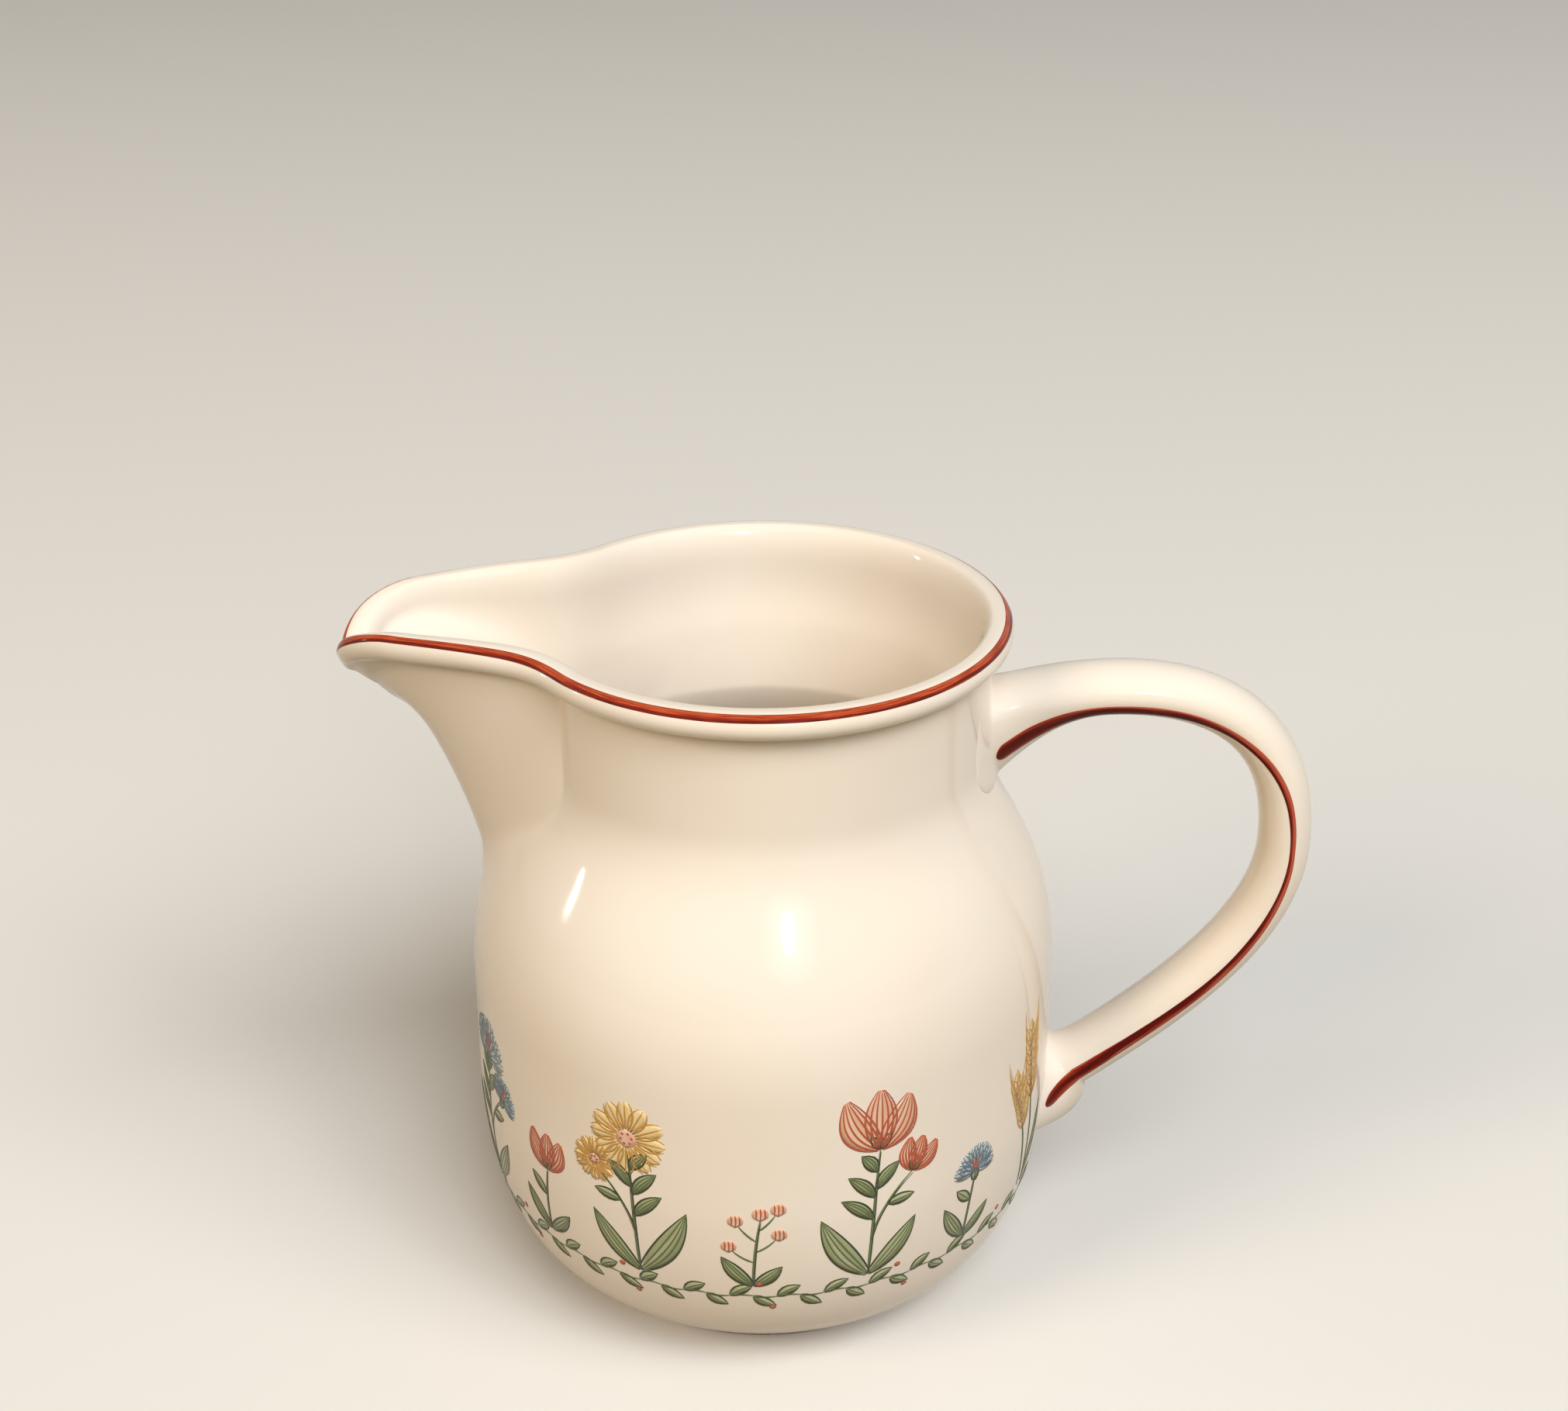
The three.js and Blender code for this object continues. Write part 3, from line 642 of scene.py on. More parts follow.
handle_runs = spaced(HANDLE_SPANS)
section_turns = np.linspace(0, 2 * math.pi, HANDLE_SIDES, endpoint=False)
sections = [(0, share) for share in END_SHARES] + [(run, 1) for run in handle_runs]
sections += [(HANDLE_LENGTH, share) for share in END_SHARES[::-1]]

bm = bmesh.new()
outlines = [[handle_point(run, turn, share=share) for turn in section_turns] for run, share in sections]
close_ends(bm, join_rings(bm, outlines))
bmesh.ops.recalc_face_normals(bm, faces=bm.faces)
handle_nodes = ["handle", "upper_slip_joint", "lower_slip_joint"]
finish_piece(bm, "loop_handle", cream_glaze, handle_nodes)

# %% [markdown]
# ## Red-brown brush lines
# A brush leaves a line that is streaky along its length and uneven across. A UV map on each line tells the
# material how far along and how far across the brush a point is, so the streaks follow the line round every
# bend. Stretched noise pushes the across value to and fro, and a ramp turns it into the brush's colours. The
# rim's line is dark near its lower edge, and its lighter orange streaks above are painted highlight laid
# over the brush's streaks. The handle's lines hold more paint and are darkest in the middle.

# %% Make the red-brown paints
RED_DARK = (0.1, 0.006, 0.003, 1)
RED_BROWN = (0.26, 0.02, 0.005, 1)
# painted highlight: this paler orange in the rim line's ramp stands in for the glaze's highlight
RED_PAINTED_HIGHLIGHT = (0.56, 0.1, 0.03, 1)
RED_THIN = (0.46, 0.1, 0.06, 1)
STREAK_STRETCH = (0.1, 5, 1)
STREAK_RANGE = (0.3, 1.7)
PAINT_ROUGHNESS = (0.09, 0.2)


def brush_paint(name, stops, shine=0.2):
    material, tree, shader = new_material(name)
    uv = tree.nodes.new("ShaderNodeUVMap")
    uv.uv_map = "brush"
    stretch = tree.nodes.new("ShaderNodeMapping")
    stretch.inputs["Scale"].default_value = STREAK_STRETCH
    tree.links.new(uv.outputs["UV"], stretch.inputs["Vector"])
    across = tree.nodes.new("ShaderNodeSeparateXYZ")
    tree.links.new(uv.outputs["UV"], across.inputs["Vector"])
    streak = combine(tree, "ADD", noise(tree, 1, 4, stretch.outputs["Vector"]), across.outputs["Y"])
    share = spread(tree, streak, STREAK_RANGE, (0, 1))
    tree.links.new(ramp(tree, share, stops), shader.inputs["Base Color"])
    gloss = spread(tree, streak, STREAK_RANGE, PAINT_ROUGHNESS)
    tree.links.new(gloss, shader.inputs["Roughness"])
    shader.inputs["Specular IOR Level"].default_value = shine
    print("made", material.name)
    return material


# The rim line's middle and upper streaks carry painted highlight in a paler orange.
rim_paint = brush_paint("red_brown_rim", [
    (0.06, RED_THIN), (0.14, RED_BROWN), (0.26, RED_DARK), (0.4, RED_BROWN), (0.52, RED_PAINTED_HIGHLIGHT),
    (0.62, RED_BROWN), (0.74, RED_PAINTED_HIGHLIGHT), (0.86, RED_BROWN), (0.95, RED_THIN)])
handle_paint = brush_paint("red_brown_handle", [
    (0.1, RED_THIN), (0.24, RED_BROWN), (0.38, RED_DARK), (0.62, RED_DARK), (0.76, RED_BROWN),
    (0.92, RED_THIN)], shine=0.06)

# %% [markdown]
# ## Ribbons of paint
# A painted line is a very flat rod that lies half in the glaze. So it is made as the handle is: thin
# sections are extruded one from the next, and the UV map is written from each section's place along the line
# and each point's place across it. Where the brush is lifted, the place across shifts towards the ramp's
# paler end. A single strip of faces would look the same from outside, but it isn't a solid.

# %% Helper for a painted ribbon
PAINT_PROUD = 0.07
PAINT_DEPTH = 0.2
ACROSS = np.linspace(-1, 1, 7)


def ribbon(bm, sections, closed=False):
    brush = bm.loops.layers.uv.new("brush")
    rings = join_rings(bm, [[*top, *low[::-1]] for along, lifted, top, low in sections])
    if not closed:
        close_ends(bm, rings)
    place_uv = {}
    for ring, (along, lifted, top, low) in zip(rings, sections):
        for vert, across in zip(ring, np.concatenate([ACROSS, ACROSS[::-1]])):
            place_uv[vert] = (along, (across + 1) / 2 + lifted)
    for face in bm.faces:
        for loop in face.loops:
            loop[brush].uv = place_uv[loop.vert]
    if closed:
        bmesh.ops.remove_doubles(bm, verts=rings[0] + rings[-1], dist=0.001)
    bmesh.ops.recalc_face_normals(bm, faces=bm.faces)


print("paint stands", PAINT_PROUD, "mm proud of the glaze")

# %% [markdown]
# ## Line round the rim
# The rim's line lies on the upper outer side of the bead, all the way round the mouth and along the lip. It
# was drawn by hand, so it sinks a little round the tip and on the far side. The bead's own rings are drawn
# again at a few angles, a little larger for the top of the paint and a little smaller for its underside.

# %% Make the rim line
RIM_LINE_TURN, RIM_LINE_SINK = 50, 28
RIM_LINE_HALF, RIM_LINE_HALF_TIP = 18, 27
RIM_MARK_LOW, RIM_MARK_HIGH, RIM_MARK_STEP = -12, 78, 6
FAR_FROM, FAR_FULL = -0.1, 0.6
TIP_SINK_FROM = 0.6


def rim_strips(grow):
    marks = range(RIM_MARK_LOW, RIM_MARK_HIGH + 1, RIM_MARK_STEP)
    rings = np.array([bead_ring(mark, grow) for mark in marks])
    spots = np.arange(len(turns))
    far_side = smoothstep(np.sin(turns), FAR_FROM, FAR_FULL)
    sink = np.maximum(smoothstep(lip_share, TIP_SINK_FROM, 1), far_side)
    half = RIM_LINE_HALF + (RIM_LINE_HALF_TIP - RIM_LINE_HALF) * sink
    strips = []
    for across in ACROSS:
        place = (RIM_LINE_TURN - RIM_LINE_SINK * sink + half * across - RIM_MARK_LOW) / RIM_MARK_STEP
        below = place.astype(int)
        share = (place - below)[:, None]
        strips.append(rings[below, spots] * (1 - share) + rings[below + 1, spots] * share)
    return np.array(strips)


rim_top, rim_low = rim_strips(PAINT_PROUD), rim_strips(-PAINT_DEPTH)
around = np.append(np.arange(len(turns)), 0)
rim_middle = rim_top[len(ACROSS) // 2][around]
steps = np.linalg.norm(np.diff(rim_middle, axis=0), axis=1)
rim_along = np.concatenate([[0], np.cumsum(steps)])
bm = bmesh.new()
ribbon(bm, [(along, 0, rim_top[:, i], rim_low[:, i]) for along, i in zip(rim_along, around)], closed=True)
finish_piece(bm, "rim_brush_line", rim_paint, ["rim_line"])

# %% [markdown]
# ## Lines along the handle
# A line runs along each flank of the handle, broad and dark at both roots. Round the bend the brush was
# lifted, so the line is thin and pale there. It starts low on the flank, climbs over the bend and ends in the
# middle of the knob. It follows the handle's own surface, so the same helper that shaped the sections places
# it.

# %% Make the handle lines
LINE_START, LINE_STOP = 2.5, 161.3
LINE_RUNS = (2.5, 12, 28, 52, 60, 68, 76, 100, 116, 140, 161)
LINE_TURNS = (-37, -33, -28, -21.5, -13, 0, 7, 6.5, 9, 1, 0)
LINE_WIDTH_RUNS = (2.5, 12, 52, 84, 108, 140, 158, 161)
LINE_WIDTHS = (4.6, 4.1, 1.8, 1.1, 1.8, 2.3, 3.2, 3.2)
LINE_END, LINE_STEPS, LINE_EASE = 1.4, 219, 5
BRUSH_LIFT, LIFTED_WIDTH, PRESSED_WIDTH = 0.5, 1.2, 3
SMALL_TURN = 0.05
LEAST_WIDTH = 0.004


def handle_line_sections(side):
    sections = []
    end_runs = LINE_END * (1 - np.cos(np.linspace(0, math.pi / 2, 10)))
    between = np.linspace(LINE_START + LINE_END, LINE_STOP - LINE_END, LINE_STEPS + 1)[1:-1]
    for run in np.concatenate([LINE_START + end_runs, between, (LINE_STOP - end_runs)[::-1]]):
        near_runs = run + np.linspace(-LINE_EASE, LINE_EASE, 5)
        middle = math.radians(np.mean(np.interp(near_runs, LINE_RUNS, LINE_TURNS)))
        width = np.interp(run, LINE_WIDTH_RUNS, LINE_WIDTHS)
        lifted = BRUSH_LIFT * (1 - smoothstep(width, LIFTED_WIDTH, PRESSED_WIDTH))
        end = min(run - LINE_START, LINE_STOP - run)
        width *= math.sqrt(max(LEAST_WIDTH, 1 - fade(end, LINE_END)))
        reach = handle_point(run, middle + SMALL_TURN) - handle_point(run, middle - SMALL_TURN)
        half = width / 2 / (reach.length / (2 * SMALL_TURN))
        places = []
        for grow in (PAINT_PROUD, -PAINT_DEPTH):
            strip = [handle_point(run, middle + across * half, grow) for across in ACROSS]
            places.append([Vector((place.x, side * place.y, place.z)) for place in strip])
        sections.append((run, lifted, *places))
    return sections


for name, side in (("handle_line_near", -1), ("handle_line_far", 1)):
    bm = bmesh.new()
    ribbon(bm, handle_line_sections(side))
    finish_piece(bm, name.replace("line", "brush_line"), handle_paint, [name])

# %% [markdown]
# ## A brush on the belly
# The flowers are painted with a fine brush, under the glaze. Every stem, leaf and petal is made of strokes:
# a curve with a width that swells and tapers, first a pale wash and then fine lines over it. The strokes are
# drawn flat, in millimetres round the belly and up from the ring's foot, and kept in one list for each
# paint. An image could carry them too, but strokes stay sharp from close by.

# %% Helpers for brush strokes
steady_hand = random.Random(11)
strokes = {}
ANGLE_SHAKE, LENGTH_SHAKE = (-4, 4), (0.94, 1.06)
STROKES_APART = 0.06
FINE_LINE, FOOT_GATHER, TIP_GATHER = 0.42, 0.12, 0.12
SWELLS = {
    "line": lambda t: np.minimum(1, 0.35 + 5 * t) * (1 - 0.7 * t ** 3),
    "leaf": lambda t: np.sin(np.pi * t) ** 0.8,
    "petal": lambda t: np.sin(np.pi * t ** 1.7) ** 0.65,
    "dot": lambda t: np.sqrt(1 - (2 * t - 1) ** 2),
}


def stroke(paint, points, width, layer, swell="line"):
    strokes.setdefault(paint, []).append((points, width, layer, swell))


def away(start, angle, length):
    turn = math.radians(angle)
    return np.array((start[0] + length * math.sin(turn), start[1] + length * math.cos(turn)))


def blade(start, angle, length, width, bend, wash, lines, swell="leaf", fan=0.0):
    angle += steady_hand.uniform(*ANGLE_SHAKE)
    length *= steady_hand.uniform(*LENGTH_SHAKE)
    start = away(start, angle, STROKES_APART)
    middle = away(start, angle - bend, length / 2)
    tip = away(start, angle, length)
    across = away((0, 0), angle + 90, width)
    stroke(wash, [start, middle, tip], width, 0, swell)
    for share, paint in lines:
        aside = across * share
        end = away(start, angle, length * (1 - TIP_GATHER * fan * abs(share))) + aside * fan
        stroke(paint, [start + aside * FOOT_GATHER, middle + aside, end], FINE_LINE, 2)


def dot(paint, middle, radius, layer=3):
    stroke(paint, [away(middle, 180, radius), middle, away(middle, 0, radius)], 2 * radius, layer, "dot")


print("strokes swell as", ", ".join(SWELLS))

# %% [markdown]
# ## Stems, leaves and flowers
# Each plant is built up as a painter would: stems first, then leaves with dark edges, then the heads. Small
# random changes of angle and length keep two plants of a kind from being alike.

# %% Helpers for plants
LEAF_LINES = ((-0.95, "dark_green"), (0.95, "dark_green"), (-0.4, "green"), (0.05, "green"), (0.45, "green"))
SMALL_LEAF_LINES = ((-0.95, "dark_green"), (0.95, "dark_green"), (0, "green"))
TULIP_LINES = [(share, "terracotta") for share in (-0.95, -0.6, -0.25, 0.1, 0.45, 0.75, 0.98)]
RAY_LINES = [(share, "blue") for share in (-0.9, -0.3, 0.3, 0.9)]
DAISY_LINES = [(share, "ochre") for share in (-0.85, 0, 0.85)]
GRAIN_LINES = [(share, "ochre") for share in (-0.95, 0.95, 0)]


def stem(start, height, lean, width=0.75):
    start = np.array(start, float)
    middle = start + (lean * 0.1, height * 0.55)
    top = start + (lean, height)
    stroke("green", [start, middle, top], width, 1)
    stroke("dark_green", [start + (0.2, 0), middle + (0.3, 0), top + (0.15, -0.6)], 0.28, 2)
    return top


def on_stem(start, top, share):
    lean = (top[0] - start[0]) * (0.2 * share * (1 - share) + share * share)
    rise = (top[1] - start[1]) * (1.1 * share - 0.1 * share * share)
    return np.array((start[0] + lean, start[1] + rise))


def leaf(start, angle, length, width, bend=0.0):
    lines = LEAF_LINES if width > 2.6 else SMALL_LEAF_LINES
    blade(start, angle, length, width, bend, "green_wash", lines)


def tulip(start, size, angle=0.0):
    for turn, bend in ((-27, 24), (27, -24), (0, 0)):
        blade(start, angle + turn, size, size * 0.46, bend, "terracotta_wash", TULIP_LINES, fan=0.12)
    leaf(start, angle - 34, size * 0.3, size * 0.12)
    leaf(start, angle + 34, size * 0.3, size * 0.12)


def cornflower(start, size, angle=0.0):
    for turn in np.linspace(-82, 82, 8):
        blade(start, angle + turn, size, size * 0.44, 0, "blue_wash", RAY_LINES, "petal", 0.42)
    for turn in (-24, -8, 8, 24):
        middle, tip = (away(start, angle + turn, size * share) for share in (0.3, 0.55))
        stroke("terracotta", [start, middle, tip], 0.4, 3)
    leaf(away(start, angle + 180, size * 0.45), angle, size * 0.62, size * 0.36)


def daisy(middle, size):
    for turn in range(0, 360, 30):
        foot = away(middle, turn, size * 0.22)
        blade(foot, turn, size * 0.8, size * 0.4, 0, "ochre_wash", DAISY_LINES, "petal", 0.35)
    dot("terracotta_wash", middle, size * 0.27)
    for turn in range(20, 380, 60):
        dot("terracotta", away(middle, turn, size * 0.15), 0.3, 4)


def berry(middle, radius):
    dot("terracotta_wash", middle, radius)
    for share in (-0.5, 0, 0.5):
        side = away(middle, 90, radius * share)
        height = radius * math.sqrt(1 - share * share) * 0.85
        line = [away(side, 0, height), away(side, 90, 0.25), away(side, 180, height)]
        stroke("terracotta", line, 0.36, 4)


print("a large leaf has", len(LEAF_LINES), "lines")

# %% [markdown]
# ## Whole plants
# A tall plant has a main stem with its flower, a side stem with a bud, two long leaves at the foot and
# small ones further up. Ears of grain stand narrow, so they fit beside the handle. Low sprigs of berries and
# single small flowers fill the gaps between the tall ones.

# %% Helpers for whole plants
def tall_plant(foot, head, bud, way):
    top = stem(foot, steady_hand.uniform(30, 32), 1.5 * way)
    side_foot = on_stem(foot, top, 0.28)
    side = stem(side_foot, 14.5, 8.5 * way, 0.6)
    leaf(foot, -30 * way, 20.5, 5, 14 * way)
    leaf(foot, 38 * way, 15.5, 4.2, -12 * way)
    for share, angle, length in ((0.45, -48, 9), (0.62, -44, 7.8), (0.68, 42, 7.2), (0.82, -40, 5.6)):
        bend = math.copysign(10, angle * way)
        leaf(on_stem(foot, top, share), angle * way, length, 2.7, bend)
    leaf(on_stem(side_foot, side, 0.55), 80 * way, 5.8, 2.3)
    head(top)
    bud(side, 20 * way)


def tall_tulip(foot, way):
    tall_plant(foot, lambda top: tulip(top, 13.5), lambda top, angle: tulip(top, 7.6, angle), way)


def tall_cornflower(foot, way):
    tall_plant(foot, lambda top: cornflower(top, 8.8), lambda top, angle: cornflower(top, 5.6, angle), way)


def tall_daisy(foot, way):
    def bud(top, angle):
        daisy(away(top, angle, 1.5), 5)

    tall_plant(foot, lambda top: daisy(away(top, 0, 2), 8.2), bud, way)


def grain(foot, height, lean):
    top = stem(foot, height, lean, 0.6)
    for share in np.linspace(0.6, 0.97, 6):
        place = on_stem(foot, top, share)
        for angle in (-30, 30):
            blade(place, angle, 5.8, 2.5, angle / 3, "ochre_wash", GRAIN_LINES)
            tip = away(place, angle, 5.4)
            stroke("ochre", [tip, away(tip, angle * 0.6, 3), away(tip, angle * 0.35, 5.5)], 0.26, 1)
    blade(top, 0, 5.8, 2.5, 0, "ochre_wash", GRAIN_LINES)


def grain_pair(foot, way):
    foot = np.array(foot)
    grain(foot, 36, 2 * way)
    grain(foot + (2 * way, 0), 27, 6.5 * way)
    leaf(foot, -20 * way, 18, 2.9, 12 * way)


def berry_sprig(foot, way):
    top = stem(foot, 17.5, 1.5 * way, 0.6)
    for share, angle in ((0.35, -55), (0.5, 50), (0.66, -42), (0.82, 40)):
        twig = on_stem(foot, top, share)
        end = away(twig, angle * way, 5.4)
        stroke("green", [twig, away(twig, angle * way * 1.25, 3), end], 0.45, 1)
        berry(away(end, angle * way * 0.6, 1.2), 1.6)
    berry(away(top, 0, 1.3), 1.7)
    leaf(foot, -42 * way, 9.5, 3.2, 10 * way)
    leaf(foot, 46 * way, 8.2, 2.9, -10 * way)


def small_flower(foot, way):
    top = stem(foot, 16.5, -1.5 * way, 0.6)
    leaf(foot, 36 * way, 11.5, 3.3, -10 * way)
    leaf(foot, -44 * way, 9, 3, 10 * way)
    leaf(on_stem(foot, top, 0.55), 48 * way, 5.8, 2.3)
    return top


def small_cornflower(foot, way):
    cornflower(small_flower(foot, way), 6)


def small_daisy(foot, way):
    daisy(away(small_flower(foot, way), 0, 1.2), 5.6)


def small_tulip(foot, way):
    tulip(small_flower(foot, way), 9)


print("plants:", "tulip, cornflower, daisy, grain, berries")

# %% [markdown]
# ## Ring of flowers
# Sixteen places are spaced evenly round the belly, tall plants and low ones by turns. No plant stands right
# under the handle, where its root covers the belly. A chain of small leaves runs below them all the way
# round.

# %% Draw the ring
ROUND = 2 * math.pi * BELLY_RADIUS
STATIONS, STATION_LEVEL = 16, 5.5
PLANTS = {
    -7: tall_tulip, -6: small_daisy, -5: tall_daisy, -4: berry_sprig, -3: tall_cornflower, -2: small_tulip,
    -1: tall_daisy, 0: berry_sprig, 1: tall_tulip, 2: small_cornflower, 3: grain_pair, 5: grain_pair,
    6: small_tulip, 7: tall_cornflower, 8: berry_sprig,
}
for station, plant in PLANTS.items():
    plant((station * ROUND / STATIONS, STATION_LEVEL), 1 if station % 4 < 2 else -1)

CHAIN_LEAVES, CHAIN_LEVEL, CHAIN_BOW = 78, 2.4, 0.7
CHAIN_STEP = ROUND / CHAIN_LEAVES
for k in range(CHAIN_LEAVES):
    place = k * CHAIN_STEP
    way = 1 if k % 2 else -1
    leaf((place, CHAIN_LEVEL), 90 - 32 * way, 5.6, 2.5, 12 * way)
    bowed = (place + 2, CHAIN_LEVEL + CHAIN_BOW * way)
    stroke("green", [(place, CHAIN_LEVEL), bowed, (place + CHAIN_STEP + 0.5, CHAIN_LEVEL)], 0.55, 1)
    if k % 6 == 0:
        dot("terracotta", (place + 1.2, 5.9), 0.7)
        dot("terracotta", (place + 4, -1.2), 0.7)
print(sum(len(drawn) for drawn in strokes.values()), "strokes in", len(strokes), "paints")

# %% [markdown]
# ## Paint on the belly
# Each list of strokes becomes one mesh. A bmesh grid makes each stroke, and its points are moved to the
# curve. All of them are extruded together to a thin solid and then laid round the belly: across the drawing
# is round the axis, up the drawing is up the profile, and the height is out of the glaze. Later layers lie a
# little higher, so that lines show over the wash.

# %% Helpers for laying strokes
BAND_FOOT = 29
STROKE_PROUD, LAYER_STEP, STROKE_DEPTH = 0.045, 0.012, 0.15
FLAT_GAP = 100
GRID_STEP, LEAST_SWELL = 1.2, 0.05

belly_run, belly_way = run_along(outer_profile), direction(outer_profile)


def lay(around, up, out):
    run = BAND_FOOT + up
    reach, height = (np.interp(run, belly_run, outer_profile[:, k]) for k in (0, 1))
    along, rise = (np.interp(run, belly_run, belly_way[:, k]) for k in (0, 1))
    reach, height = reach + out * rise, height - out * along
    turn = around / BELLY_RADIUS
    return Vector((reach * math.sin(turn), -reach * math.cos(turn), height))


def brush_grid(bm, brush, points, width, layer, swell):
    length = run_along(bezier(points, 8))[-1]
    along, across = max(4, round(length / GRID_STEP)), max(1, round(width / GRID_STEP))
    curve = bezier(points, along)
    way = direction(curve)
    half = width / 2 * np.maximum(SWELLS[swell](np.linspace(0, 1, along + 1)), LEAST_SWELL)
    for vert in bmesh.ops.create_grid(bm, x_segments=along, y_segments=across, size=1)["verts"]:
        i = round((vert.co.x + 1) / 2 * along)
        side = vert.co.y
        place = curve[i] + half[i] * side * np.array((-way[i, 1], way[i, 0]))
        for loop in vert.link_loops:
            loop[brush].uv = (length * i / along, (side + 1) / 2)
        vert.co = (place[0], place[1], layer)


print("the ring of flowers starts", BAND_FOOT, "mm up the profile")

# %% Make the painted flowers
PAINTS = {
    "green_wash": ((0.32, 0.36, 0.19, 1), (0.48, 0.5, 0.31, 1)),
    "green": ((0.085, 0.125, 0.045, 1), (0.19, 0.235, 0.1, 1)),
    "dark_green": ((0.02, 0.03, 0.01, 1), (0.075, 0.09, 0.035, 1)),
    "terracotta_wash": ((0.76, 0.43, 0.29, 1), (0.82, 0.58, 0.43, 1)),
    "terracotta": ((0.4, 0.07, 0.03, 1), (0.55, 0.15, 0.07, 1)),
    "ochre_wash": ((0.82, 0.62, 0.28, 1), (0.85, 0.71, 0.43, 1)),
    "ochre": ((0.5, 0.245, 0.045, 1), (0.66, 0.38, 0.1, 1)),
    "blue_wash": ((0.42, 0.48, 0.49, 1), (0.6, 0.61, 0.56, 1)),
    "blue": ((0.08, 0.14, 0.2, 1), (0.2, 0.28, 0.34, 1)),
}

for paint, drawn in strokes.items():
    thick, thin = PAINTS[paint]
    material = brush_paint(paint + "_paint", [(0.3, thick), (0.55, thin), (0.75, thick), (0.95, thin)])
    bm = bmesh.new()
    brush = bm.loops.layers.uv.new("brush")
    for points, width, layer, swell in drawn:
        brush_grid(bm, brush, points, width, layer, swell)
    made = bmesh.ops.extrude_face_region(bm, geom=bm.faces[:])["geom"]
    tops = [item for item in made if isinstance(item, bmesh.types.BMVert)]
    bmesh.ops.translate(bm, verts=tops, vec=(0, 0, FLAT_GAP))
    bmesh.ops.recalc_face_normals(bm, faces=bm.faces)
    for vert in bm.verts:
        layer = vert.co.z - FLAT_GAP
        out = STROKE_PROUD + layer * LAYER_STEP if layer >= 0 else -STROKE_DEPTH
        vert.co = lay(vert.co.x, vert.co.y, out)
    finish_piece(bm, "flowers_" + paint, material)

# %% [markdown]
# ## Foot ring
# The jug stands on a low ring of bare clay, turned on the wheel and left without glaze so that it doesn't
# stick in the kiln. One section with bevelled corners is spun about the axis.

# %% Make the foot ring
CLAY_DARK, CLAY_PALE = (0.5, 0.38, 0.24, 1), (0.68, 0.56, 0.4, 1)
GRIT_SCALE, GRAIN_SCALE, GRAIN_HEIGHT = 900, 1500, 0.2 * MM
FOOT_SUNK, FOOT_BEVEL, FOOT_STEPS = 0.4, 1.1, 128

bare_clay, tree, shader = new_material("bare_clay")
grit = ramp(tree, noise(tree, GRIT_SCALE, 4), [(0.35, CLAY_DARK), (0.6, CLAY_PALE)])
tree.links.new(grit, shader.inputs["Base Color"])
shader.inputs["Roughness"].default_value = 0.85
bump(tree, shader, noise(tree, GRAIN_SCALE, 3), 0.4, GRAIN_HEIGHT)

foot_tall = FOOT_HEIGHT + FOOT_SUNK
bm = bmesh.new()
section = bmesh.ops.create_grid(bm, x_segments=1, y_segments=1, size=0.5)["verts"]
bmesh.ops.rotate(bm, verts=section, cent=(0, 0, 0), matrix=Matrix.Rotation(math.pi / 2, 3, "X"))
bmesh.ops.scale(bm, verts=section, vec=(FOOT_WIDTH, 1, foot_tall))
bmesh.ops.translate(bm, verts=section, vec=(FOOT_RADIUS - FOOT_WIDTH / 2, 0, foot_tall / 2))
bmesh.ops.bevel(bm, geom=bm.verts[:], offset=FOOT_BEVEL, segments=4, profile=0.5, affect="VERTICES",
                material=-1)
bmesh.ops.spin(bm, geom=bm.verts[:] + bm.edges[:], cent=(0, 0, 0), axis=(0, 0, 1), angle=2 * math.pi,
               steps=FOOT_STEPS, use_merge=True)
bmesh.ops.delete(bm, geom=[face for face in bm.faces if len(face.verts) > 4], context="FACES_ONLY")
bmesh.ops.recalc_face_normals(bm, faces=bm.faces)
finish_piece(bm, "clay_foot", bare_clay, ["foot_ring"])

# %% [markdown]
# ## Floor and light
# A plain pale floor and soft lamps show the gloss without hiding the colours. Floor and room look pale, also
# in the glaze, but send less light back, so that the heel falls into shade. The main lamp stands behind the
# camera, high and to the right, and a warm lamp on the left keeps the spout's side soft. These large lamps
# give light alone: the glaze would mirror each as a broad white patch. Smaller lamps make what it mirrors: a
# glow of three discs, one inside another, is the soft bright spot on the shoulder, a narrow lamp is the thin
# streak beside it, and a spark glints on the rim.

# %% Make the floor and the room
PALE = (0.84, 0.83, 0.81, 1)
SHADE = (0.19, 0.125, 0.03, 1)
PALE_ROOM = (0.6, 0.59, 0.57, 1)
DIM_ROOM = (0.08, 0.069, 0.05, 1)


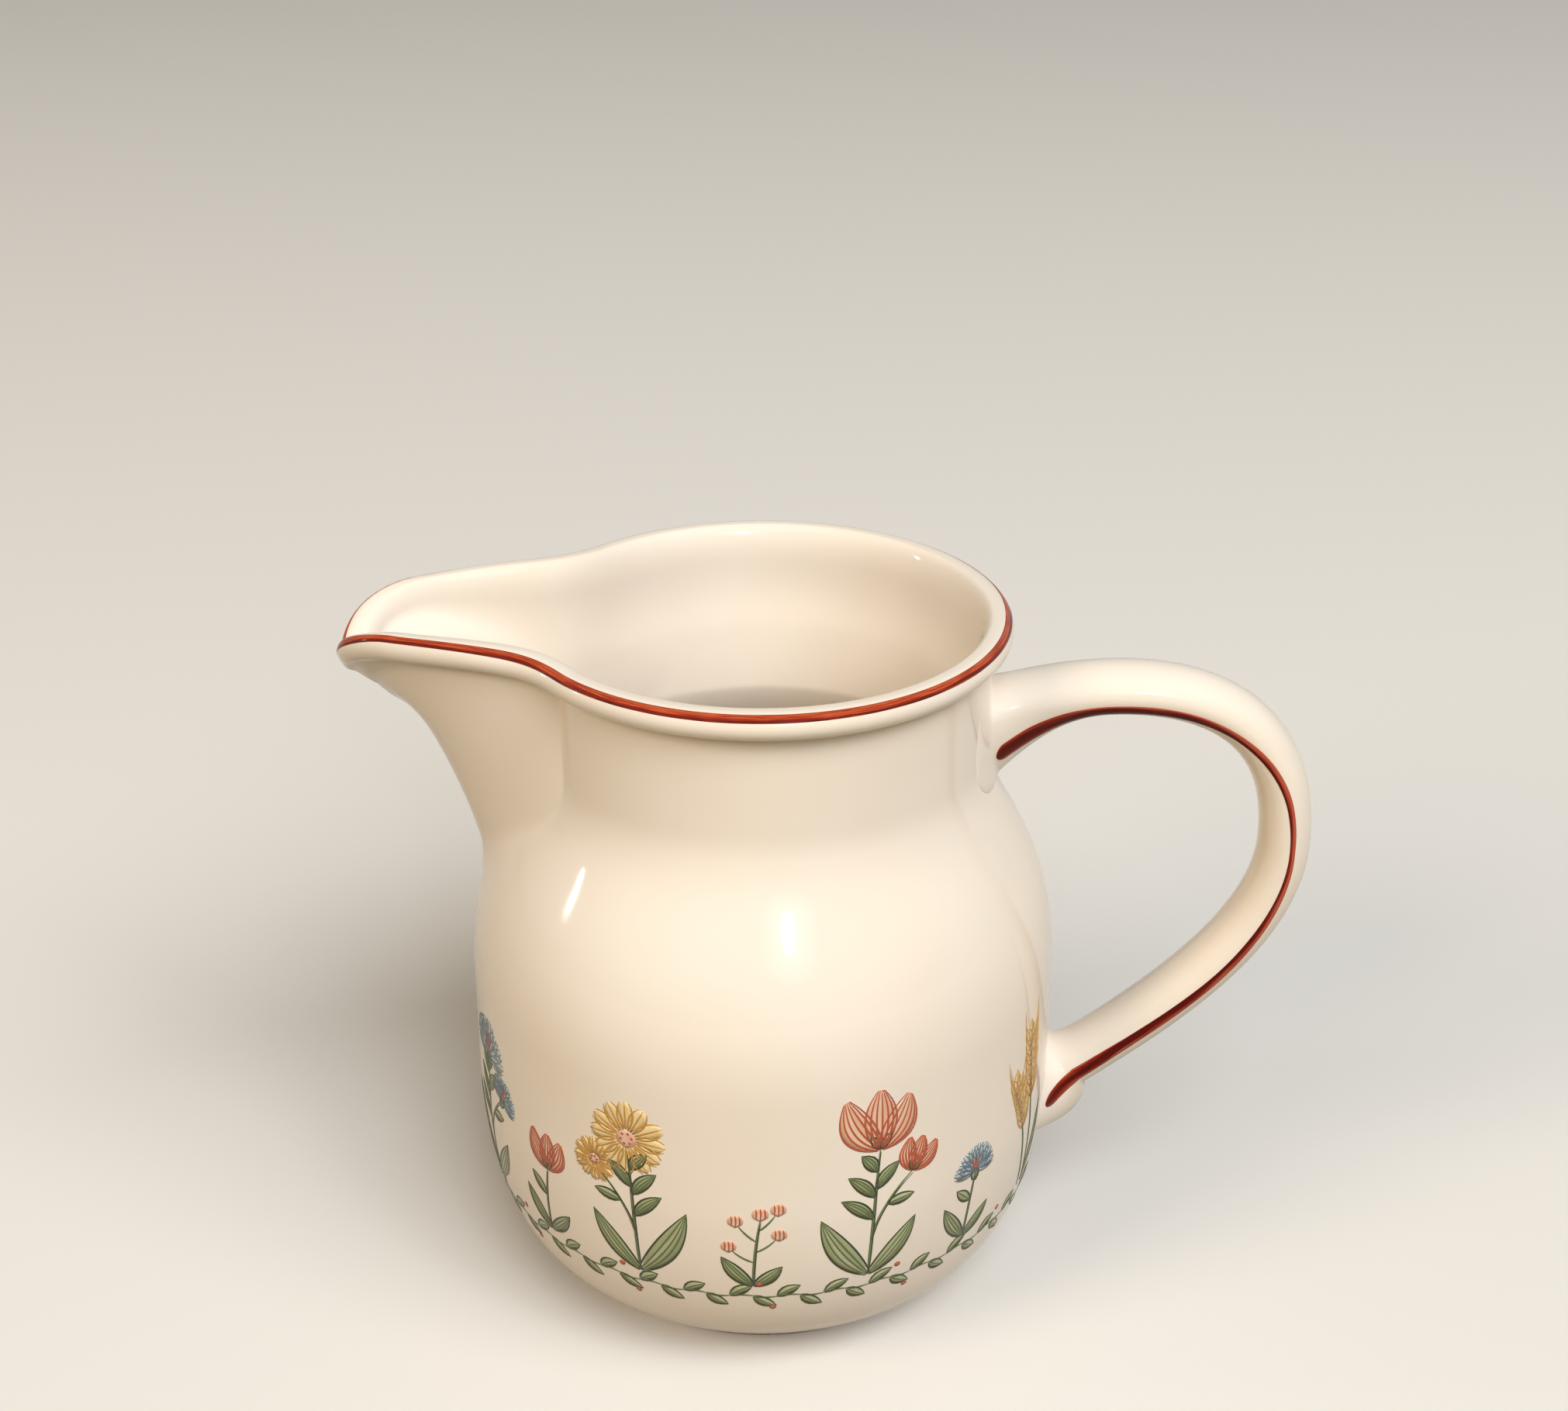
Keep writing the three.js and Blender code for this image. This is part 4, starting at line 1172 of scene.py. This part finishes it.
def seen_ray(tree):
    ray = tree.nodes.new("ShaderNodeLightPath").outputs
    seen = combine(tree, "MAXIMUM", ray["Is Camera Ray"], ray["Is Glossy Ray"])
    return combine(tree, "MAXIMUM", seen, ray["Is Transmission Ray"])


floor_material, tree, shader = new_material("pale_floor")
tree.links.new(ramp(tree, seen_ray(tree), [(0, SHADE), (1, PALE)]), shader.inputs["Base Color"])
shader.inputs["Roughness"].default_value = 0.9
bm = bmesh.new()
bmesh.ops.create_grid(bm, x_segments=1, y_segments=1, size=4)
floor_mesh = bpy.data.meshes.new("floor")
bm.to_mesh(floor_mesh)
bm.free()
floor = add_object("floor", floor_mesh)
floor_mesh.materials.append(floor_material)

world = bpy.data.worlds.new("studio")
world.use_nodes = True
tree = world.node_tree
room = ramp(tree, seen_ray(tree), [(0, DIM_ROOM), (1, PALE_ROOM)])
tree.links.new(room, tree.nodes["Background"].inputs["Color"])
bpy.context.scene.world = world
print("made", floor.name, "and", world.name)

# %% Set up the lamps
LAMP_TARGET = Vector((0, 0, 0.09))
MAIN_PLACE = (1.2, -2.8, 3.4)


def lamp(name, place, size, watts, colour=(1, 1, 1), mirrored=True):
    data = bpy.data.lights.new(name, "AREA")
    data.shape = "ELLIPSE"
    data.size, data.size_y = size
    data.energy = watts
    data.color = colour
    light = add_object(name, data)
    light.location = place
    light.rotation_euler = (LAMP_TARGET - Vector(place)).to_track_quat("-Z", "Y").to_euler()
    light.visible_glossy = mirrored
    print(name, "gives", watts, "W")


lamp("main", MAIN_PLACE, (3, 3), 136, (0.97, 0.99, 1), mirrored=False)
lamp("right", (2.4, -1.6, 3), (2, 2), 57, (1, 0.96, 0.9), mirrored=False)
lamp("left", (-2.4, -1.9, 2), (1.6, 1.6), 52, (1, 0.81, 0.58), mirrored=False)
lamp("spark", MAIN_PLACE, (0.5, 0.5), 5)
lamp("streak", (-3.4, -0.25, 0.9), (0.13, 0.45), 4)
for size, watts in ((0.28, 4), (0.75, 3), (1.3, 4.5)):
    lamp("glow", (0.73, -3.1, 1.75), (size, size), watts)
